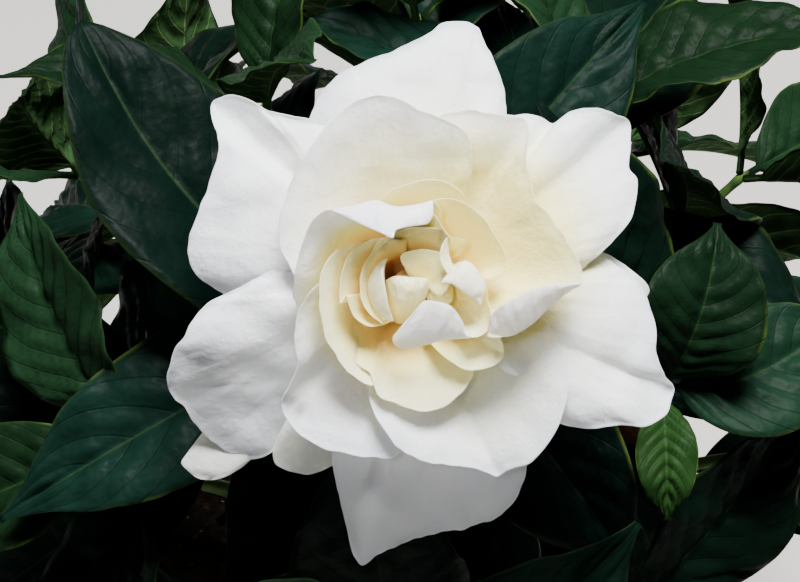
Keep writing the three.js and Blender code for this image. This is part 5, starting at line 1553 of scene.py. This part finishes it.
@dataclass
class DoubleBloom:
    """The open double gardenia: whorls of thick petals round a heart that is still rolled."""

    # Rows of a petal's grid and the steps along its rim, and along that of a fold, in mm.
    rows: int = 52
    grid_mm: float = 0.62
    fold_grid_mm: float = 0.25
    fold_thickness: float = 0.3
    # Height and length of the unevenness of a petal's rim, and how far from the rim it grows thin, in mm.
    rim_ripple: float = 0.3
    rim_ripple_length: float = 5.0
    thin_within: float = 3.0
    # Where grey is painted into a petal and it sinks a little, in the bloom's frame: a grey stain with
    # painted shade in crumpled tips and creases, and painted shade on the fold at the right, which faces
    # away from the light. Place, turn in degrees, half length and half width in mm, and depth.
    stain_and_shade_spots: tuple[tuple[float, ...], ...] = (
        (-37.2, -13.4, -8, 6, 2.8, 1.15), (-43.2, -17.4, 70, 2.6, 1.1, 0.9), (-35, -17.8, 2, 7, 0.6, 0.3),
        (-21, -21.4, -24, 3.8, 1.8, 0.85), (-37.5, -35.2, -12, 5, 0.9, 1.2),
        (-35.2, 32.4, -50, 1.8, 0.8, 0.5), (46.4, -18.7, 0, 1.4, 0.8, 0.5), (38.6, 29.5, 60, 1.2, 0.9, 0.6),
        # Painted shade only: these last two lie on the fold at the right, which faces away from the light.
        (13.8, -5.2, 75, 2.6, 1.6, 0.45), (22.4, -4.6, 25, 9, 3.6, 0.42),
    )
    forms: dict[Whorl, PetalForm] = field(
        default_factory=lambda: {
            Whorl.BACK: PetalForm(0.5, 1.0, 1.5, 0.4, 0.12, 0.2),
            Whorl.OUTER: PetalForm(0.6, 2.6, 4.8, 0.9, 0.0, 0.35),
            Whorl.INNER: PetalForm(0.55, 1.2, 0.8, 0.5, 0.0, 0.85),
            Whorl.CUP: PetalForm(0.5, 0.6, 0.3, 0.25, 0.34, 0.68),
            Whorl.SWIRL: PetalForm(0.4, 0.3, 0.1, 0.15, 0.44, 0.7),
        }
    )

    @staticmethod
    def hollow_shade_warmth(points: Array) -> Array:
        """Painted warm shade in the cup, over the petals' cream: warmth grows with depth near the axis,
        most on the left and in the hole, where shade falls and bounced light is warm.

        Args:
            points: places in the bloom's frame.

        Returns:
            Warmth from 0.
        """
        radius = np.linalg.norm(points[..., :2] - [0.5, -0.5], axis=-1)
        left = 1 - 0.3 * smooth(points[..., 0], -6, 8)
        broad = 0.88 * left * smooth(13.0 - points[..., 2], 0, 12) * (1 - smooth(radius, 9, 24))
        hole = np.linalg.norm(points[..., :2] - [-2.4, 3.0], axis=-1)
        return broad + 0.3 * smooth(4.0 - points[..., 2], 0, 6) * (1 - smooth(hole, 2, 6))

    def sheet(self, grid: Array, form: PetalForm, warm: Array, vein: Array, seed: int) -> Surface:
        """A petal's body from its middle surface: it swells softly and its free edge is rounded.

        Args:
            grid: rows from root to free edge, columns across.
            form: the whorl's form.
            warm: warmth on the grid.
            vein: count of veins on the grid.
            seed: picks its own unevenness.

        Returns:
            The closed petal, with the value "petal", in the plant's frame.
        """
        if grid_normals(grid)[..., 2].mean() < 0:
            grid, warm, vein = grid[:, ::-1], warm[:, ::-1], vein[:, ::-1]
        normal = grid_normals(grid)
        v = np.linspace(0, 1, grid.shape[0])[:, None]
        inside = np.sin(math.pi * v) ** 0.5
        # Grey painted in: a stain with painted shade in crumpled tips and creases, and painted shade on the
        # fold that faces away from the light.
        stain_and_shade = 0 * warm
        for x, y, turn, long, wide, depth in self.stain_and_shade_spots:
            way = np.array([math.cos(math.radians(turn)), math.sin(math.radians(turn))])
            off = grid[..., :2] - [x, y]
            stain_and_shade += depth * np.exp(-((off @ way / long) ** 2) - (off @ [-way[1], way[0]] / wide) ** 2)
        # Long waves along the veins crease the petal, and finer ones break up its painted grey.
        lines = waves(beside(VEIN_MM * vein, 2.5 * v, 0.0), 3.4, seed + 70, 2)
        # It swells in waves of 16 mm with small ones of 5 mm on them, and sinks where grey is painted in.
        soft = form.swell * waves(grid, 16.0, seed, 2) + 0.08 * waves(grid, 5.0, seed + 50, 2)
        soft = soft + 0.05 * form.swell * lines * smooth(v, 0.2, 0.6) + stain_and_shade * (0.15 * lines - 0.6)
        fibres = waves(beside(VEIN_MM * vein, 1.2 * v, 0.0), 1.5, seed + 90, 2)
        stain_and_shade = stain_and_shade * np.clip(0.95 + 0.2 * lines + 0.3 * fibres, 0.5, 1.3)
        grid = grid + normal * (soft * inside)[..., None]
        edges = grid[-1:], grid[:, :1], grid[:, -1:]
        to_rim, *to_sides = (np.linalg.norm(grid - edge, axis=-1) for edge in edges)
        thin = 0.4 + 0.6 * smooth(to_rim, 0, self.thin_within)
        # The body is rounded off along its edges.
        inward = np.clip(np.minimum(to_rim, np.minimum(*to_sides)) / (0.5 * form.thickness), 0, 1)
        half = form.thickness / 2 * thin * np.sqrt(np.clip(1 - (1 - inward) ** 2, 0.012, 1))
        normal = grid_normals(grid)
        value = {"petal": beside(np.clip(warm, 0, 1), vein, stain_and_shade)}
        off = normal * half[..., None]
        return closed_sheet(grid + off, grid - off, value).from_bloom()

    def fan(self, whorl: Whorl, root: tuple, rise: float, rim: list, seed: int) -> Surface:
        """A petal as a fan of lines from its root to its rim.

        A line's point at v is root + v (rim - root) across, and at height root + v^rise (rim - root).
        The rim's corners fade inwards, where the lines run to the rim smoothed by a bell curve. The
        petal is crowned over its middle, and its margin rolls back.

        Args:
            whorl: where it stands.
            root: its root.
            rise: the power of v in its height.
            rim: points of its rim.
            seed: picks its own unevenness.

        Returns:
            The closed petal.
        """
        form = self.forms[whorl]
        edge = smooth_line(rim, max(24, int(step_lengths(rim).sum() / self.grid_mm)))
        ripple = self.rim_ripple * waves(edge, self.rim_ripple_length, seed, 2)
        edge = edge + unit(edge - root) * ripple[:, None]
        # Rows begin just off the root, where the lines would meet, and lie closest together at the rim.
        w = np.linspace(0, 1, self.rows)[:, None]
        v = 0.06 + 0.94 * (1 - (1 - w) ** 1.5)
        foot = np.array(root, float)
        count = len(edge)
        bell = np.exp(-0.5 * (np.subtract.outer(np.arange(count), np.arange(count)) / (0.075 * count)) ** 2)
        calm = bell @ edge / bell.sum(1, keepdims=True)
        # The smoothed rim is drawn back to the rim's own ends.
        to_end, to_start = np.linspace(0, 1, count)[:, None], np.linspace(1, 0, count)[:, None]
        calm += to_end * (edge[-1] - calm[-1]) + to_start * (edge[0] - calm[0])
        line = calm + smooth(v, 0.4, 1.0)[..., None] * (edge - calm)
        grid = foot + v[..., None] * (line - foot)
        grid[..., 2] = foot[2] + v**rise * (line[..., 2] - foot[2])
        # A short line is crowned and rolled less than one of 30 mm.
        reach = np.linalg.norm(edge - foot, axis=-1)[None]
        profile = form.crown * np.sin(math.pi * v) ** 2 - form.roll * smooth(v, 0.8, 1.0) ** 2 * 0.5
        grid[..., 2] += profile * np.clip(reach / 30, 0.3, 1.2)
        across = np.r_[0, np.cumsum(step_lengths(edge))][None]
        # Painted warm light: the upper right side of the cup is painted warmest, and a painted yellow glow
        # lies round its right wall.
        warm_light_lean = 0.62 + 0.38 * (unit(grid[..., :2]) @ [0.7, 0.7])
        warm = form.rim_warmth + (form.root_warmth - form.rim_warmth) * np.clip(1.04 - v, 0, 1) * warm_light_lean
        painted_glow = 0.5 * (1 - smooth(np.linalg.norm(grid[..., :2] - [13.0, 7.0], axis=-1), 8, 28))
        warm = np.maximum(np.maximum(warm + 0 * across, painted_glow), self.hollow_shade_warmth(grid))
        return self.sheet(grid, form, warm, across / VEIN_MM + 0 * v, seed)

    def fold(self, hem: list, edge: list, belly: float, warmth: float, pleat: float, seed: int) -> Surface:
        """A folded margin: a surface between hem and free edge, bellied by 4 belly v (1 - v) along Z.

        Pleats run from hem to edge, a wave of 3.2 mm and one of 1.9 mm, strongest towards the edge's end.

        Args:
            hem: points where it leaves its petal.
            edge: points of its free edge.
            belly: height of the belly in mm.
            warmth: of its colour at the free edge.
            pleat: height of the pleats in mm.
            seed: picks its own unevenness.

        Returns:
            The closed fold.
        """
        form = replace(self.forms[Whorl.SWIRL], thickness=self.fold_thickness)
        length = step_lengths(edge).sum()
        count = max(24, int(length / self.fold_grid_mm))
        start, end = smooth_line(hem, count), smooth_line(edge, count)
        v, place = np.linspace(0, 1, 18)[:, None], np.linspace(0, length, count)
        grid = start + v[..., None] * (end - start)
        grid[..., 2] += 4 * belly * v * (1 - v)
        along = place + 1.5 * v
        pleats = np.sin(2 * math.pi * along / 3.2) + 0.6 * np.sin(2 * math.pi * along / 1.9 + seed)
        strong = (0.35 + 0.65 * smooth(along / length, 0.5, 1.0)) * np.sin(math.pi * np.clip(v, 0.05, 0.9))
        grid = grid + grid_normals(grid) * (pleat * pleats * strong)[..., None]
        warm = np.maximum(warmth, 0.8 * self.hollow_shade_warmth(grid))
        return self.sheet(grid, form, warm, place / VEIN_MM + 0 * v, seed)

    def cap(self, apex: tuple, rise: float, rim: list) -> Surface:
        """A rolled heart petal: a dome from its apex to its rim, and a wall from there down.

        Args:
            apex: its top.
            rise: the power of the share out to the rim in its fall.
            rim: points of its rim, round it.

        Returns:
            The closed cap.
        """
        loop = smooth_line([*rim, rim[0]], 73)[:-1]
        top = np.array(apex, float)
        v = np.linspace(0.04, 1, 22)[:, None]
        dome = top + v[..., None] * (loop - top)
        dome[..., 2] = top[2] + v**rise * (loop[:, 2] - top[2])
        dome[..., 2] += 0.35 * waves(dome * [1, 0.35, 1], 1.8, int(9 * top[2]), 2) * np.sin(math.pi * v)
        wall = np.stack([loop - [0, 0, depth] for depth in (0.4, 1.2, 2.6, 5, 8)])
        wall[..., 2] = np.maximum(wall[..., 2], -6)
        grid = np.concatenate([dome, wall])
        area = np.cross(loop - top, np.roll(loop, -1, axis=0) - top)[:, 2].sum()
        grid = grid[:, ::-1] if area < 0 else grid
        warm = np.maximum(0.3, self.hollow_shade_warmth(grid))
        value = beside(warm, grid[..., 0] / VEIN_MM, 0.0)
        return closed_rings(grid[::-1], {"petal": value[::-1]}).from_bloom()

    def tube(self) -> Surface:
        """The hollow's floor and the corolla's tube, turned about the bloom's axis."""
        outline = [
            (0.3, -36), (2.6, -36), (2.7, -28), (2.9, -20), (3.4, -18.5), (5.2, -17.5), (7.4, -14.5),
            (8.2, -11.5), (7.6, -7), (5.2, -3), (0.3, -1.5),
        ]
        body = turned(outline, 64)
        body.values["petal"] = beside(0.15 + 0.8 * smooth(body.points[:, 2], -22, -10), 0.0, 0.0)
        return body.from_bloom()

    def build(self) -> None:
        """Builds the petals, a piece for each of the four outer whorls and one for the heart."""
        finish = PetalFinish().make()
        seed = 100
        for whorl in (Whorl.BACK, Whorl.OUTER, Whorl.INNER, Whorl.CUP):
            parts = []
            for root, rise, rim in PETALS[whorl.value].values():
                seed += 1
                parts.append(self.fan(whorl, root, rise, rim, seed))
            petals = Surface.joined(parts).add_to_scene(f"petals_{whorl.value}", finish)
            dress_piece(petals, "bloom")
        heart = [self.fan(Whorl.SWIRL, *row, 200 + k) for k, row in enumerate(PETALS["swirl"].values())]
        heart += [self.fold(*row, 300 + k) for k, row in enumerate(FOLDS.values())]
        heart += [self.cap(*row) for row in PETALS["cap"].values()]
        heart_piece = Surface.joined([*heart, self.tube()]).add_to_scene("petals_heart", finish)
        dress_piece(heart_piece, "bloom")


@dataclass
class Studio:
    """A plain pale floor, soft studio light and a camera that looks straight into the bloom."""

    floor_mm: float = 4000.0
    camera_mm: float = 450.0
    frame_mm: float = 0.175 * PHOTO_WIDTH
    sensor_mm: float = 36.0
    centre: tuple[float, float, float] = (-2.1, -1.05, 0.0)
    aim: tuple[float, float, float] = (2, 1, 4)
    sky: float = 0.06
    # Name, place in the bloom's frame and edge in mm, watts and spread in degrees of each soft box.
    lights: tuple[tuple, ...] = (
        ("key_light", (80, 660, 590), 360, 33.0, 180),
        ("fill_light", (-500, 250, 750), 800, 0.2, 180),
        ("bloom_light", (-80, 40, 500), 40, 0.0055, 9),
    )

    def lay_floor(self) -> None:
        """A pale floor, closed below, whose top is what the pot stands on."""
        line = np.linspace(-self.floor_mm / 2, self.floor_mm / 2, 25)
        top = beside(line[:, None], line, -0.05)
        closed_sheet(top, top - [0, 0, 10]).add_to_scene("floor", FloorFinish().make())

    def hang_light(self, name: str, place: tuple, size_mm: float, watts: float, spread: float) -> None:
        """Hangs a square soft box that shines at the bloom.

        Args:
            name: the light's name.
            place: where it hangs, in the bloom's frame in mm.
            size_mm: its edge.
            watts: its power.
            spread: how wide its grid lets it shine, in degrees.
        """
        data = bpy.data.lights.new(name, "AREA")
        data.size, data.energy, data.spread = size_mm * MM, watts, math.radians(spread)
        light = bpy.data.objects.new(name, data)
        bpy.context.scene.collection.objects.link(light)
        spot, target = (Vector(from_bloom(np.array(p, float)) * MM) for p in (place, self.aim))
        light.location = spot
        light.rotation_euler = (target - spot).to_track_quat("-Z", "Y").to_euler()

    def build(self) -> None:
        """Builds the floor, the lights, the world and the camera."""
        self.lay_floor()
        for row in self.lights:
            self.hang_light(*row)
        world = bpy.data.worlds.new("studio")
        world.use_nodes = True
        bpy.context.scene.world = world
        background = world.node_tree.nodes["Background"].inputs
        background["Color"].default_value = linear("#DFE7F4")
        background["Strength"].default_value = self.sky
        data = bpy.data.cameras.new("camera")
        data.sensor_width, data.clip_start = self.sensor_mm, 0.01
        data.lens = self.sensor_mm / self.frame_mm * self.camera_mm
        camera = bpy.data.objects.new("camera", data)
        bpy.context.scene.collection.objects.link(camera)
        camera.location = Vector(from_bloom(self.centre + np.array([0, 0, self.camera_mm])) * MM)
        camera.rotation_euler = (math.radians(90 - BLOOM_ELEVATION), 0, 0)
        bpy.context.scene.camera = camera


def main() -> None:
    """Builds the plant from the pot up, then the studio."""
    logging.basicConfig(level=logging.INFO, format="%(name)s: %(message)s")
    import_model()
    foliage = Foliage()
    LOG.info("%d leaves laid", len(foliage.laid))
    ClayPot().build()
    PottingMix().build()
    WoodyStem(foliage).build()
    stem, leaf = StemFinish().make(), LeafFinish().make()
    for name, route in foliage.routes.items():
        kind = FloweringShoot if name == foliage.flowering else LeafyShoot
        kind(name, route, foliage.leaves_of(name)).build(stem, leaf)
    DoubleBloom().build()
    Studio().build()


if __name__ == "__main__":
    main()
